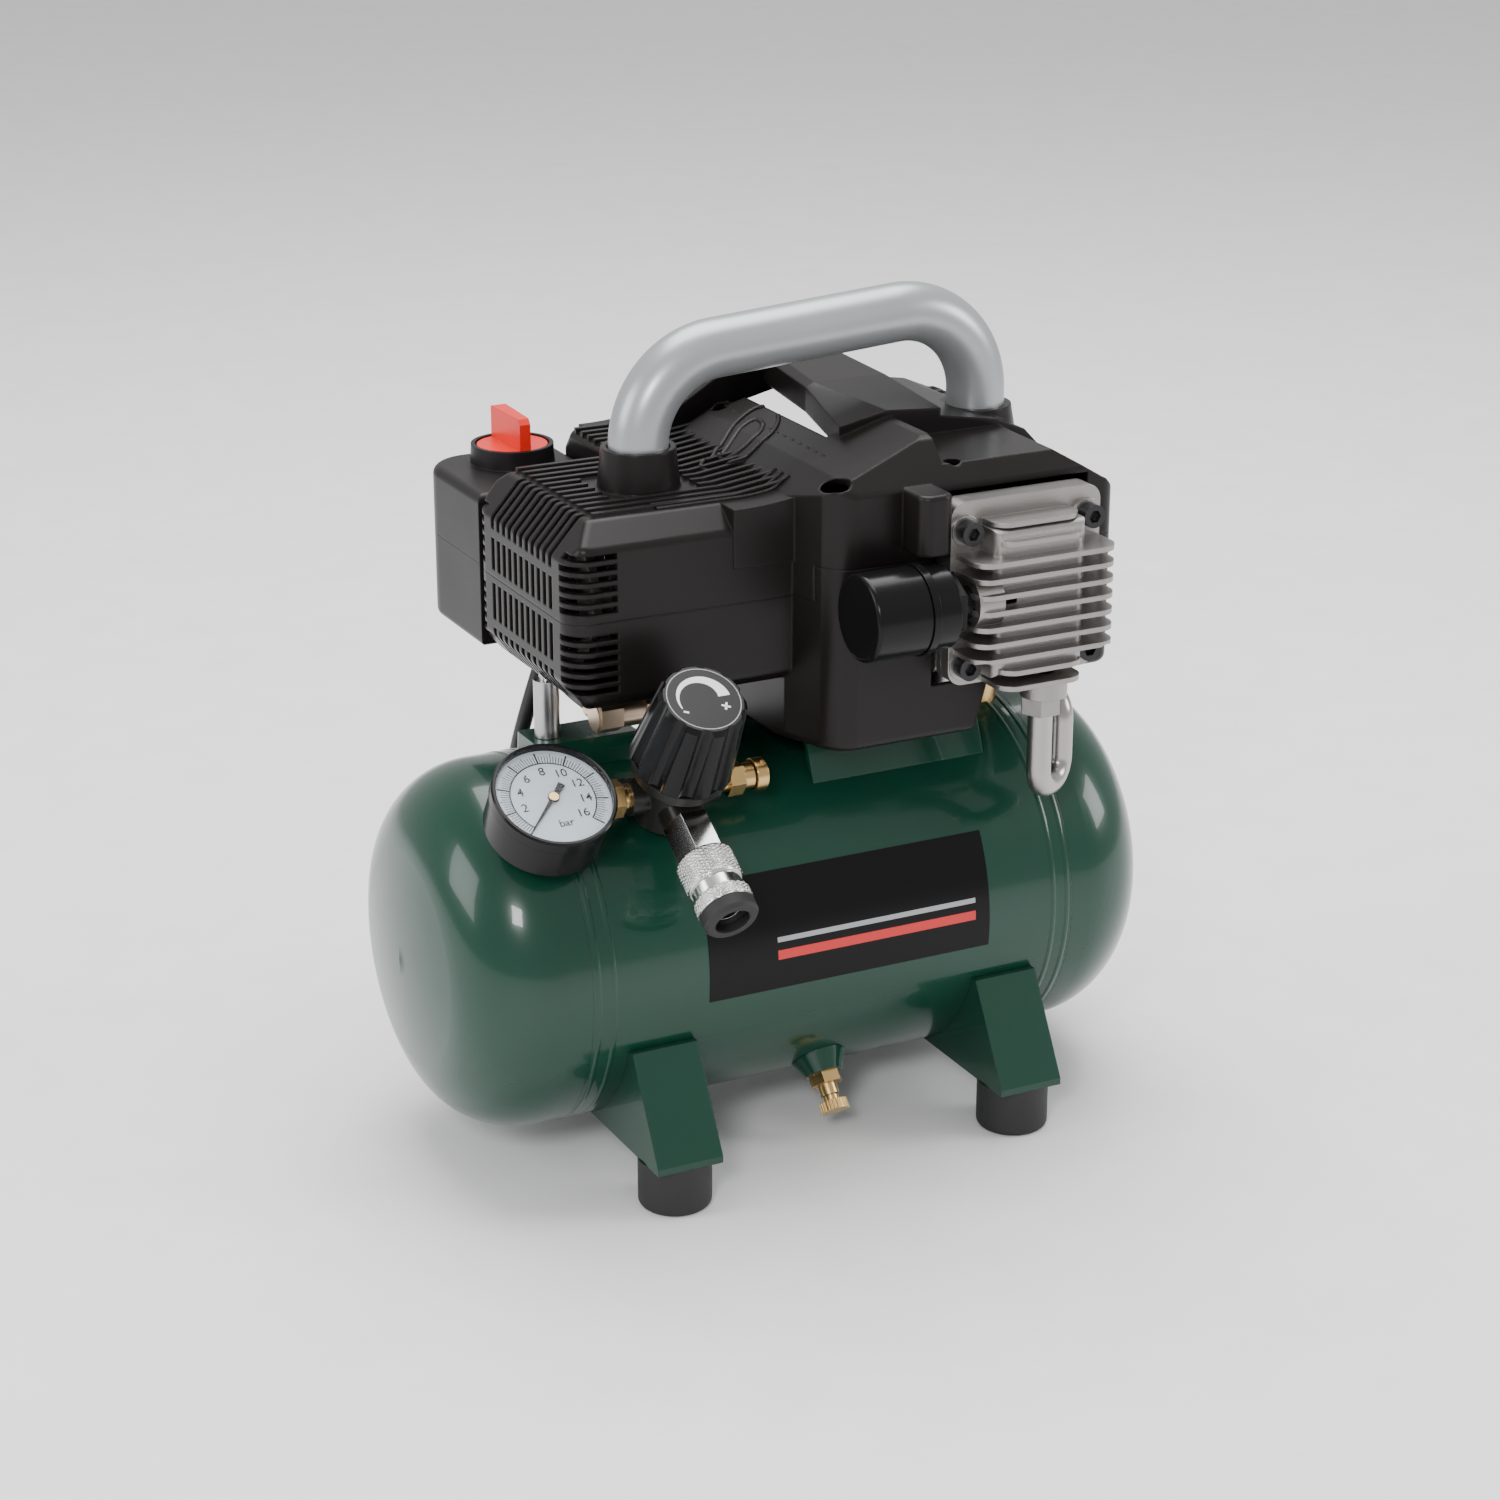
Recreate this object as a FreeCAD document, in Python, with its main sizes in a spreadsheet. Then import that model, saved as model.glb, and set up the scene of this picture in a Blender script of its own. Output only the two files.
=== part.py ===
"""Portable oil-free air compressor: horizontal 6 litre tank, direct-drive pump under a
plastic cowl, regulator with gauge and quick coupler, tubular carry handle.

Frame: X along the tank (motor end at -X, cylinder end at +X), Y to the back, Z up,
floor at Z = 0. Positions below count from the tank's axis in Y; axis_y then moves the
whole object so that the origin lies at the centre of its footprint.
"""
import FreeCAD, Part
import math
import os
import re

import Sketcher

os.makedirs("parts", exist_ok=True)
doc = FreeCAD.newDocument("air_compressor")
Vec = FreeCAD.Vector
Turn = FreeCAD.Rotation

# ---------------------------------------------------------------- driving dimensions
DIMENSIONS = [
    ("axis_y", 1.6, "shift of the tank axis from the origin, front to back"),
    ("gap", 0.3, "clearance between pieces that move past each other"),
    ("tank_radius", 80.0, "outside radius of the tank"),
    ("tank_z", 94.3, "height of the tank's axis"),
    ("tank_wall", 2.0, "tank sheet thickness"),
    ("shell_half", 115.0, "half length of the cylindrical shell"),
    ("dome_flange", 10.0, "straight rim of a dome"),
    ("dome_depth", 54.2, "depth of a dome from its rim"),
    ("dome_crown", 250.0, "crown radius of a dome"),
    ("foot_x", 82.5, "foot position along the tank"),
    ("foot_y", 87.4, "foot position across the tank"),
    ("foot_radius", 15.7, "rubber foot radius"),
    ("foot_height", 22.0, "rubber foot height"),
    ("bracket_width", 30.0, "foot bracket width"),
    ("bracket_sheet", 3.0, "foot bracket sheet thickness"),
    ("bracket_front", 103.0, "front edge of a bracket from the tank's axis plane"),
    ("bracket_top", 68.0, "height where a bracket meets the tank"),
    ("crank_z", 247.0, "height of the crank and motor axis"),
    ("crank_throw", 12.0, "crank radius"),
    ("bore_x", 82.0, "cylinder axis along the tank"),
    ("bore_radius", 29.0, "cylinder bore radius"),
    ("deck_y", 76.0, "cylinder deck, forward of the crank axis"),
    ("cowl_wall", 2.5, "cowl wall thickness"),
    ("cowl_left", 109.0, "end face of the motor cowl"),
    ("cowl_half", 50.0, "half width of the motor cowl"),
    ("cowl_base", 209.0, "underside of the motor cowl"),
    ("cowl_split", 247.0, "parting line of the motor cowl"),
    ("pump_split", 262.0, "parting line of the pump cowl"),
    ("pump_front", 74.0, "front wall of the pump cowl"),
    ("pump_base", 182.0, "underside of the pump cowl"),
    ("pump_right", 134.0, "right end of the pump cowl"),
    ("handle_radius", 12.7, "carry handle tube radius"),
    ("handle_left", -55.0, "left leg of the handle"),
    ("handle_right", 107.0, "right leg of the handle"),
    ("rim_z", 304.6, "rim of the handle collars"),
    ("knob_x", -72.0, "switch knob position along the tank"),
    ("knob_y", 95.0, "switch knob position across the tank"),
    ("knob_z", 285.0, "switch knob disc height"),
    ("air_x", -69.0, "regulator centre along the tank"),
    ("air_y", -5.0, "regulator centre across its own axis"),
    ("air_rise", 98.0, "regulator centre from the tank axis"),
    ("air_tilt", 33.0, "lean of the regulator to the front"),
    ("gauge_offset", 54.5, "gauge centre to the left of the regulator"),
    ("gauge_radius", 26.2, "gauge bezel radius"),
    ("drain_x", 4.0, "drain position along the tank"),
    ("drain_tilt", 139.0, "drain direction, turned about X from straight up"),
    ("head_half_x", 36.0, "half width of the cylinder head flange"),
    ("head_low", 209.0, "bottom of the cylinder head flange"),
    ("head_high", 288.5, "top of the cylinder head flange"),
    ("head_back", 80.0, "back face of the cylinder head, forward of the crank axis"),
    ("head_plate", 6.0, "thickness of the head flange"),
    ("fin_pitch", 6.9, "pitch of the head fins"),
    ("fin_thick", 2.2, "fin thickness"),
    ("fin_front", 106.0, "front of the full fins, forward of the crank axis"),
    ("cord_radius", 3.5, "mains lead radius"),
]
NAMES = {alias for alias, _, _ in DIMENSIONS}

sheet = doc.addObject("Spreadsheet::Sheet", "Dims")
for row, (alias, value, note) in enumerate(DIMENSIONS, start=1):
    sheet.set(f"A{row}", alias)
    sheet.set(f"B{row}", str(value))
    sheet.set(f"C{row}", note)
    sheet.setAlias(f"B{row}", alias)
doc.recompute()

UPRIGHT = Turn()
ALONG_X = Turn(Vec(0, 1, 0), 90)      # a cylinder then points to +X
TO_LEFT = Turn(Vec(0, 1, 0), -90)     # to -X
FORWARD = Turn(Vec(1, 0, 0), 90)      # to -Y
BACKWARD = Turn(Vec(1, 0, 0), -90)    # to +Y
DOWN = Turn(Vec(1, 0, 0), 180)


# ---------------------------------------------------------------- small tools
def bind(text):
    """An expression with each of the sheet's aliases written out in full."""
    def full(match):
        word = match.group()
        return "Dims." + word if word in NAMES else word
    return re.sub(r"[a-z_][a-z_0-9]*", full, str(text))


def size(text):
    """The value of such an expression."""
    return float(sheet.evalExpression(bind(text)))


def put(obj, at, turn=UPRIGHT):
    """Places an object; each coordinate is a number or an expression."""
    obj.Placement = FreeCAD.Placement(Vec(*[size(where) for where in at]), turn)
    for axis, where in zip("xyz", at):
        if isinstance(where, str):
            obj.setExpression(".Placement.Base." + axis, bind(where))
    return obj


def primitive(kind, at, turn, **sizes):
    obj = doc.addObject("Part::" + kind, kind)
    for name, text in sizes.items():
        obj.setExpression(name, bind(text))
    return put(obj, at, turn)


def cylinder(radius, height, at=(0, 0, 0), turn=UPRIGHT):
    return primitive("Cylinder", at, turn, Radius=radius, Height=height)


def cone(radius, far_radius, height, at=(0, 0, 0), turn=UPRIGHT):
    return primitive("Cone", at, turn, Radius1=radius, Radius2=far_radius, Height=height)


def torus(radius, section, at=(0, 0, 0), turn=UPRIGHT):
    return primitive("Torus", at, turn, Radius1=radius, Radius2=section)


def hexagon(across, height, at=(0, 0, 0), turn=UPRIGHT):
    obj = primitive("Prism", at, turn, Circumradius=f"({across}) / 2 / cos(30)", Height=height)
    obj.Polygon = 6
    return obj


def block(x0, x1, y0, y1, z0, z1):
    """A box between two corners."""
    return primitive("Box", (x0, y0, z0), UPRIGHT, Length=f"({x1}) - ({x0})",
                     Width=f"({y1}) - ({y0})", Height=f"({z1}) - ({z0})")


def bunch(*pieces):
    obj = doc.addObject("Part::Compound", "Bunch")
    obj.Links = list(pieces)
    return obj


def fuse(*pieces):
    obj = doc.addObject("Part::MultiFuse", "Fusion")
    obj.Shapes = list(pieces)
    obj.Refine = True
    return obj


def cut(base, *tools):
    obj = doc.addObject("Part::Cut", "Cut")
    obj.Base = base
    obj.Tool = tools[0] if len(tools) == 1 else fuse(*tools)
    obj.Refine = True
    return obj


def common(base, tool):
    obj = doc.addObject("Part::Common", "Common")
    obj.Base = base
    obj.Tool = tool
    return obj


def ring(outer, inner, height, at=(0, 0, 0), turn=UPRIGHT):
    hole = cylinder(inner, f"({height}) + 2", (0, 0, -1))
    whole = cut(cylinder(outer, height), hole)
    return put(whole, at, turn)


def sketch(body, plane, corners, arcs=None):
    """A closed outline whose corners are bound to the sheet. Side i runs from corner i to
    the next one; arcs[i] = (radius, side) makes it an arc that bulges to its left (+1) or
    right (-1)."""
    arcs = arcs or {}
    face = [f for f in body.Origin.OriginFeatures if f.Role == plane + "_Plane"][0]
    drawing = body.newObject("Sketcher::SketchObject", "Outline")
    drawing.AttachmentSupport = [(face, "")]
    drawing.MapMode = "FlatFace"
    points = [Vec(size(u), size(v), 0) for u, v in corners]
    count = len(points)
    starts = []
    for i, start in enumerate(points):
        end = points[(i + 1) % count]
        if i not in arcs:
            drawing.addGeometry(Part.LineSegment(start, end), False)
            starts.append((1, 2))
            continue
        radius, side = size(arcs[i][0]), arcs[i][1]
        chord = end - start
        across = Vec(-chord.y, chord.x, 0).normalize() * side
        centre_back = math.sqrt(max(radius ** 2 - (chord.Length / 2) ** 2, 0))
        centre = (start + end) * 0.5 - across * centre_back
        first, last = (end, start) if side > 0 else (start, end)
        angles = [math.atan2(p.y - centre.y, p.x - centre.x) for p in (first, last)]
        if angles[1] < angles[0]:
            angles[1] += 2 * math.pi
        circle = Part.Circle(centre, Vec(0, 0, 1), radius)
        drawing.addGeometry(Part.ArcOfCircle(circle, angles[0], angles[1]), False)
        backward = side > 0
        starts.append((2, 1) if backward else (1, 2))
    for i in range(count):
        following = (i + 1) % count
        drawing.addConstraint(Sketcher.Constraint("Coincident", i, starts[i][1],
                                                  following, starts[following][0]))
    for i, (u, v) in enumerate(corners):
        for kind, text, axis in (("DistanceX", u, -2), ("DistanceY", v, -1)):
            if abs(size(text)) < 1e-9:
                drawing.addConstraint(Sketcher.Constraint("PointOnObject", i, starts[i][0], axis))
                continue
            rule = Sketcher.Constraint(kind, -1, 1, i, starts[i][0], size(text))
            index = drawing.addConstraint(rule)
            if isinstance(text, str):
                drawing.setExpression(f"Constraints[{index}]", bind(text))
    for i, (text, _) in arcs.items():
        index = drawing.addConstraint(Sketcher.Constraint("Radius", i, size(text)))
        if isinstance(text, str):
            drawing.setExpression(f"Constraints[{index}]", bind(text))
    return drawing


def slab(plane, corners, thickness, at=(0, 0, 0), turn=UPRIGHT, arcs=None):
    """A padded outline. XY pads up, XZ to the front, YZ to the right."""
    body = doc.addObject("PartDesign::Body", "Slab")
    outline = sketch(body, plane, corners, arcs)
    pad = body.newObject("PartDesign::Pad", "Pad")
    pad.Profile = outline
    pad.setExpression("Length", bind(thickness))
    return put(body, at, turn)


def turned(corners, at=(0, 0, 0), turn=UPRIGHT, arcs=None):
    """A body of revolution about its Z axis, from an outline of (radius, height) corners."""
    body = doc.addObject("PartDesign::Body", "Turned")
    outline = sketch(body, "XZ", corners, arcs)
    spin = body.newObject("PartDesign::Revolution", "Revolution")
    spin.Profile = outline
    spin.ReferenceAxis = (outline, ["V_Axis"])
    spin.Angle = 360
    return put(body, at, turn)


def rounded_edges(base, radius, pick, chamfer=False):
    """Rounds the edges of a finished solid that pick(edge) chooses."""
    doc.recompute()
    amount = size(radius)
    obj = doc.addObject("Part::Chamfer" if chamfer else "Part::Fillet", "Rounding")
    obj.Base = base
    obj.Edges = [(i, amount, amount) for i, edge in enumerate(base.Shape.Edges, 1) if pick(edge)]
    return obj


def is_vertical(edge):
    if not isinstance(edge.Curve, Part.Line):
        return False
    return abs(edge.Curve.Direction.z) > 0.999


def swept_tube(points, radius, bend=None, ratio=None, inner=None):
    """A round tube along straight runs joined by tangent arcs, made with Part's own calls
    because its route has more bends than a pipe feature's sketch plane can hold."""
    route, radii = rounded_route(points, bend, ratio)
    start = route.Edges[0]
    normal = start.tangentAt(start.FirstParameter)
    circle = Part.Wire(Part.makeCircle(size(radius), points[0], normal))
    solid = route.makePipeShell([circle], True, False)
    obj = doc.addObject("Part::Feature", "Tube")
    if inner:
        hole = Part.Wire(Part.makeCircle(size(inner), points[0], normal))
        solid = solid.cut(route.makePipeShell([hole], True, False))
    obj.Shape = solid
    return obj, radii, route


def rounded_route(points, bend=None, ratio=None):
    """The wire of such a route: arcs of one bend radius, or as large as ratio of the
    shorter run allows."""
    edges, radii = [], []
    last = points[0]
    for before, corner, after in zip(points, points[1:], points[2:]):
        back = (before - corner)
        ahead = (after - corner)
        half_turn = (math.pi - back.getAngle(ahead)) / 2
        if ratio:
            radius = ratio * min(back.Length, ahead.Length) / math.tan(half_turn)
        else:
            radius = bend
        reach = radius * math.tan(half_turn)
        enter = corner + back.normalize() * reach
        leave = corner + ahead.normalize() * reach
        bisector = (back + ahead).normalize()
        middle = corner + bisector * (radius / math.cos(half_turn) - radius)
        if (enter - last).Length > 1e-6:
            edges.append(Part.LineSegment(last, enter).toShape())
        edges.append(Part.Arc(enter, middle, leave).toShape())
        radii.append(radius)
        last = leave
    edges.append(Part.LineSegment(last, points[-1]).toShape())
    return Part.Wire(edges), radii


NODES = {}


def node(label, obj, at=(0, 0, 0), turn=UPRIGHT):
    """Names a finished sub-part and sets it in its place on the compressor."""
    if obj.isDerivedFrom("Part::Primitive") or not obj.Placement.isIdentity():
        obj = bunch(obj)
    obj.Label = label
    put(obj, (at[0], f"axis_y + ({at[1]})", at[2]), turn)
    NODES[label] = obj
    return obj


def tank_round(extra=0.0, length=400, x_mid=0):
    """A plain cylinder on the tank's axis, to fit welded pieces to the sheet."""
    return cylinder(f"tank_radius + {extra}", length, (f"{x_mid} - {length} / 2", 0, "tank_z"), ALONG_X)


# places shared by more than one sub-part
CHECK_X, CHECK_Y = 106, -12
STAND_X, STAND_Y = -44, -10
MOTOR_MOUNT_X = -99
PUMP_MOUNTS = [(20, -24), (20, 24), (80, -24), (80, 24)]
CASE_LOW = 211.0
LABEL_LEFT, LABEL_LENGTH = -62, 135
LABEL_TOP, LABEL_ARC = 120, 37      # degrees from straight down, towards the front


# ---------------------------------------------------------------- tank
AIR_TURN = Turn(Vec(1, 0, 0), size("air_tilt"))
DRAIN_TURN = Turn(Vec(1, 0, 0), size("drain_tilt"))
OUTLET_RADIUS = 9.0
DRAIN_RADIUS = 8.0


def radial_post(radius, at_x, turn, sideways="0"):
    """A post from the tank's axis out through the sheet, used to drill the shell."""
    post = cylinder(radius, "tank_radius + 20", (0, sideways, 0))
    return put(bunch(post), (at_x, 0, "tank_z"), turn)


def make_tank():
    outer = cylinder("tank_radius", "2 * shell_half", ("-shell_half", 0, "tank_z"), ALONG_X)
    inner = cylinder("tank_radius - tank_wall", "2 * shell_half + 2",
                     ("-shell_half - 1", 0, "tank_z"), ALONG_X)
    outlet = radial_post(OUTLET_RADIUS, "air_x", AIR_TURN, "air_y")
    drain = radial_post(DRAIN_RADIUS, "drain_x", DRAIN_TURN)
    check_port = cylinder(7.2, 40, (CHECK_X, CHECK_Y, 150))
    stand_port = cylinder(6.2, 40, (STAND_X, STAND_Y, 150))
    node("tank_shell", cut(outer, inner, outlet, drain, check_port, stand_port))

    rise = "(dome_depth - dome_flange)"
    knuckle = f"((2*dome_crown*{rise} - {rise}^2 - tank_radius^2) / (2*(dome_crown - tank_radius)))"
    share = f"(dome_crown / (dome_crown - {knuckle}))"
    inner_share = f"((dome_crown - tank_wall) / (dome_crown - {knuckle}))"
    centre_z = "(dome_depth - dome_crown)"
    outline = [
        ("tank_radius", 0),
        ("tank_radius", "dome_flange"),
        (f"(tank_radius - {knuckle}) * {share}",
         f"{centre_z} + (dome_flange - {centre_z}) * {share}"),
        (0, "dome_depth"),
        (0, "dome_depth - tank_wall"),
        (f"(tank_radius - {knuckle}) * {inner_share}",
         f"{centre_z} + (dome_flange - {centre_z}) * {inner_share}"),
        ("tank_radius - tank_wall", "dome_flange"),
        ("tank_radius - tank_wall", 5),
        ("tank_radius - 2 * tank_wall - 0.2", 3),
        ("tank_radius - 2 * tank_wall - 0.2", -10),
        ("tank_radius - tank_wall - 0.2", -10),
        ("tank_radius - tank_wall - 0.2", 0),
    ]
    arcs = {1: (knuckle, -1), 2: ("dome_crown", -1),
            4: ("dome_crown - tank_wall", 1), 5: (f"{knuckle} - tank_wall", 1)}
    for label, end, turn in (("tank_dome_left", "-shell_half", TO_LEFT),
                             ("tank_dome_right", "shell_half", ALONG_X)):
        dome = turned(outline, arcs=arcs)
        if label == "tank_dome_right":
            port = cylinder(7.2, 40, (-65, CHECK_Y, CHECK_X - 115), TO_LEFT)
            dome = cut(dome, port)
        node(label, dome, (end, 0, "tank_z"), turn)


def make_feet():
    brackets, feet, bolts = [], [], []
    for side_x in (-1, 1):
        for side_y in (-1, 1):
            outline = [(f"{side_y} * bracket_front", "foot_height"),
                       (f"{side_y} * bracket_front", "foot_height + bracket_sheet"),
                       (f"{side_y} * (tank_radius - 1)", "bracket_top"),
                       (f"{side_y} * 60", "bracket_top"),
                       (f"{side_y} * 30", "foot_height + 8"),
                       (f"{side_y} * 30", "foot_height")]
            hollow = [(f"{side_y} * (bracket_front - 1.3 * bracket_sheet)", "foot_height + bracket_sheet"),
                      (f"{side_y} * (tank_radius - 1 - 1.3 * bracket_sheet)",
                       "bracket_top - bracket_sheet"),
                      (f"{side_y} * 40", "bracket_top - bracket_sheet"),
                      (f"{side_y} * 20", "foot_height + bracket_sheet")]
            left = f"{side_x} * foot_x - bracket_width / 2"
            wedge = slab("YZ", outline, "bracket_width", (left, 0, 0))
            inside = slab("YZ", hollow, "bracket_width - 2 * bracket_sheet",
                          (f"{left} + bracket_sheet", 0, 0))
            spot = (f"{side_x} * foot_x", f"{side_y} * foot_y")
            hole = cylinder(3.4, 20, (*spot, 15))
            brackets.append(cut(wedge, inside, tank_round(0.05), hole))

            profile = [(5.5, 0), ("foot_radius - 3", 0), ("foot_radius", 3),
                       ("foot_radius", "foot_height"), (3.4, "foot_height"), (3.4, 12), (5.5, 12)]
            feet.append(turned(profile, (*spot, 0), arcs={1: (3, -1)}))

            head = cylinder(5, 4, (0, 0, 8))
            shank = cylinder(3, 24, (0, 0, 8))
            nut = hexagon(10, 5, (0, 0, "foot_height + bracket_sheet"))
            bolts.append(put(fuse(head, shank, nut), (*spot, 0)))
    node("foot_brackets", bunch(*brackets))
    node("rubber_feet", bunch(*feet))
    node("foot_bolts", bunch(*bolts))


def make_drain():
    place_on = ("drain_x", 0, "tank_z")
    flare = cone(14, 8.5, 12, (0, 0, 76))
    welded = cut(flare, cylinder("tank_radius + 0.05", 80, (-40, 0, 0), ALONG_X))
    spigot = cylinder(DRAIN_RADIUS - 0.1, 10, (0, 0, 77))
    boss = cut(fuse(welded, spigot), cylinder(5, 30, (0, 0, 70)))
    node("drain_boss", boss, place_on, DRAIN_TURN)

    thread = cylinder(4.9, 10, (0, 0, 78))
    flats = hexagon(13, 5, (0, 0, 88))
    stem = cylinder(4.2, 5, (0, 0, 93))
    body = cut(fuse(thread, flats, stem), cylinder(2.6, 40, (0, 0, 70)))
    node("drain_body", body, place_on, DRAIN_TURN)

    pin = cylinder(2.55, 18, (0, 0, 82))
    neck = cylinder(3.4, 2.5, (0, 0, 98.3))
    head = cylinder(6.3, 4.5, (0, 0, 100.8))
    teeth = [cylinder(0.6, 6, (6.4 * math.cos(a), 6.4 * math.sin(a), 100))
             for a in (2 * math.pi * i / 24 for i in range(24))]
    node("drain_screw", cut(fuse(pin, neck, head), bunch(*teeth)), place_on, DRAIN_TURN)


def make_label():
    """A thin printed film on the front of the shell."""
    film = cylinder("tank_radius + 0.25", LABEL_LENGTH)
    film.Angle = LABEL_ARC
    under = cylinder("tank_radius + 0.03", LABEL_LENGTH + 2, (0, 0, -1))
    # the cylinder's own angle starts at its X axis, which here points down
    start = Turn(Vec(0, 1, 0), 90).multiply(Turn(Vec(0, 0, 1), -LABEL_TOP))
    node("tank_label", cut(film, under), (LABEL_LEFT, 0, "tank_z"), start)


def is_vertical_side(edge):
    """The four upright corners of the motor stand."""
    box = edge.BoundBox
    return box.ZLength > 20 and box.XLength < 0.1


def make_saddle():
    outline = [(-18, 150), (-15, 179), (-11, 183.5), (11, 183.5), (15, 179), (18, 150)]
    stand = rounded_edges(slab("YZ", outline, 46, (-108, 0, 0)), 5, is_vertical_side)
    post_hole = cylinder(3.2, 20, (MOTOR_MOUNT_X, 0, 175))
    room = block(-105, -65, -12, 12, 150, 180.5)
    left = cut(stand, room, tank_round(0.05), post_hole)

    roof = slab("YZ", [(-50, 150), (-38, 181), (38, 181), (50, 150)], 84, (4, 0, 0))
    under = slab("YZ", [(-47, 149), (-36, 178), (36, 178), (47, 149)], 86, (3, 0, 0))
    holes = [cylinder(3.2, 20, (x, y, 170)) for x, y in PUMP_MOUNTS]
    right = cut(roof, under, tank_round(0.05), *holes)
    node("saddle_plates", bunch(left, right))

    stud = fuse(cylinder(5.5, "cowl_base - 183.7", (0, 0, 183.7)), cylinder(3, 34, (0, 0, 178.5)))
    mounts = [put(stud, (MOTOR_MOUNT_X, 0, 0))]
    for x, y in PUMP_MOUNTS:
        bush = fuse(cylinder(8, CASE_LOW - 181.2, (0, 0, 181.2)), cylinder(3, 10, (0, 0, 176)))
        mounts.append(put(bush, (x, y, 0)))
    node("vibration_mounts", bunch(*mounts))


# ---------------------------------------------------------------- pump and motor
CRANK = (0, 0, "crank_z")
DECK = "-deck_y"


def make_motor():
    core = ring(35, 20.4, 56, (-74, 0, "crank_z"), ALONG_X)
    coils = [ring(33, 23, 9, (x, 0, "crank_z"), ALONG_X) for x in (-83, -18)]
    node("motor_stator", fuse(core, *coils))

    drum = cylinder(20, 52, (-72, 0, "crank_z"), ALONG_X)
    end_rings = [cylinder(17, 5, (x, 0, "crank_z"), ALONG_X) for x in (-77, -20)]
    slot = block(-72, -20, -1, 1, 18.6, 21)
    slots = [put(bunch(slot), (0, 0, "crank_z"), Turn(Vec(1, 0, 0), 360 * i / 14))
             for i in range(14)]
    bore = cylinder(6, 90, (-90, 0, "crank_z"), ALONG_X)
    node("motor_rotor", cut(fuse(drum, *end_rings), bore, bunch(*slots)))

    long_part = cylinder(6, 136, (-92, 0, "crank_z"), ALONG_X)
    fan_seat = cylinder(5, 12, (-104, 0, "crank_z"), ALONG_X)
    flat = block(-104, -92, 3.8, 6, 235, 260)
    node("motor_shaft", cut(fuse(long_part, fan_seat), flat))

    races = [ring(13, 6.05, 8, (x, 0, "crank_z"), ALONG_X) for x in (-90, 22)]
    node("motor_bearings", bunch(*races))

    plate = cylinder(34, 4, (-92, 0, "crank_z"), ALONG_X)
    hub = cylinder(16, 10, (-92, 0, "crank_z"), ALONG_X)
    seat = cylinder(13, 12, (-90, 0, "crank_z"), ALONG_X)
    way = cylinder(7, 30, (-100, 0, "crank_z"), ALONG_X)
    window = cylinder(5.5, 20, (-96, 0, 24), ALONG_X)
    windows = [put(bunch(window), (0, 0, "crank_z"), Turn(Vec(1, 0, 0), 60 * i + 30))
               for i in range(6)]
    node("motor_end_shield", cut(fuse(plate, hub), seat, way, bunch(*windows)))

    collar = ring(9, 5.0, 9, (-104, 0, "crank_z"), ALONG_X)
    disc = ring(26, 8.5, 1.6, (-97, 0, "crank_z"), ALONG_X)
    blade = block(-103.5, -96.5, -0.8, 0.8, 8, 26)
    blades = [put(bunch(blade), (0, 0, "crank_z"), Turn(Vec(1, 0, 0), 40 * i)) for i in range(9)]
    node("cooling_fan", fuse(disc, collar, *blades))

    web = cylinder(21, 8, (58, 0, "crank_z"), ALONG_X)
    relief = block(57, 67, -22, -17.5, 220, 275)
    boss = cylinder(9, 14, (44, 0, "crank_z"), ALONG_X)
    pin = cylinder(4.9, "16 - 6.4", (66, "-crank_throw", "crank_z"), ALONG_X)
    screw = cylinder(2, 12, (51, 0, "crank_z"))
    node("crank_disc", cut(fuse(cut(web, relief), boss, pin), screw))


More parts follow.
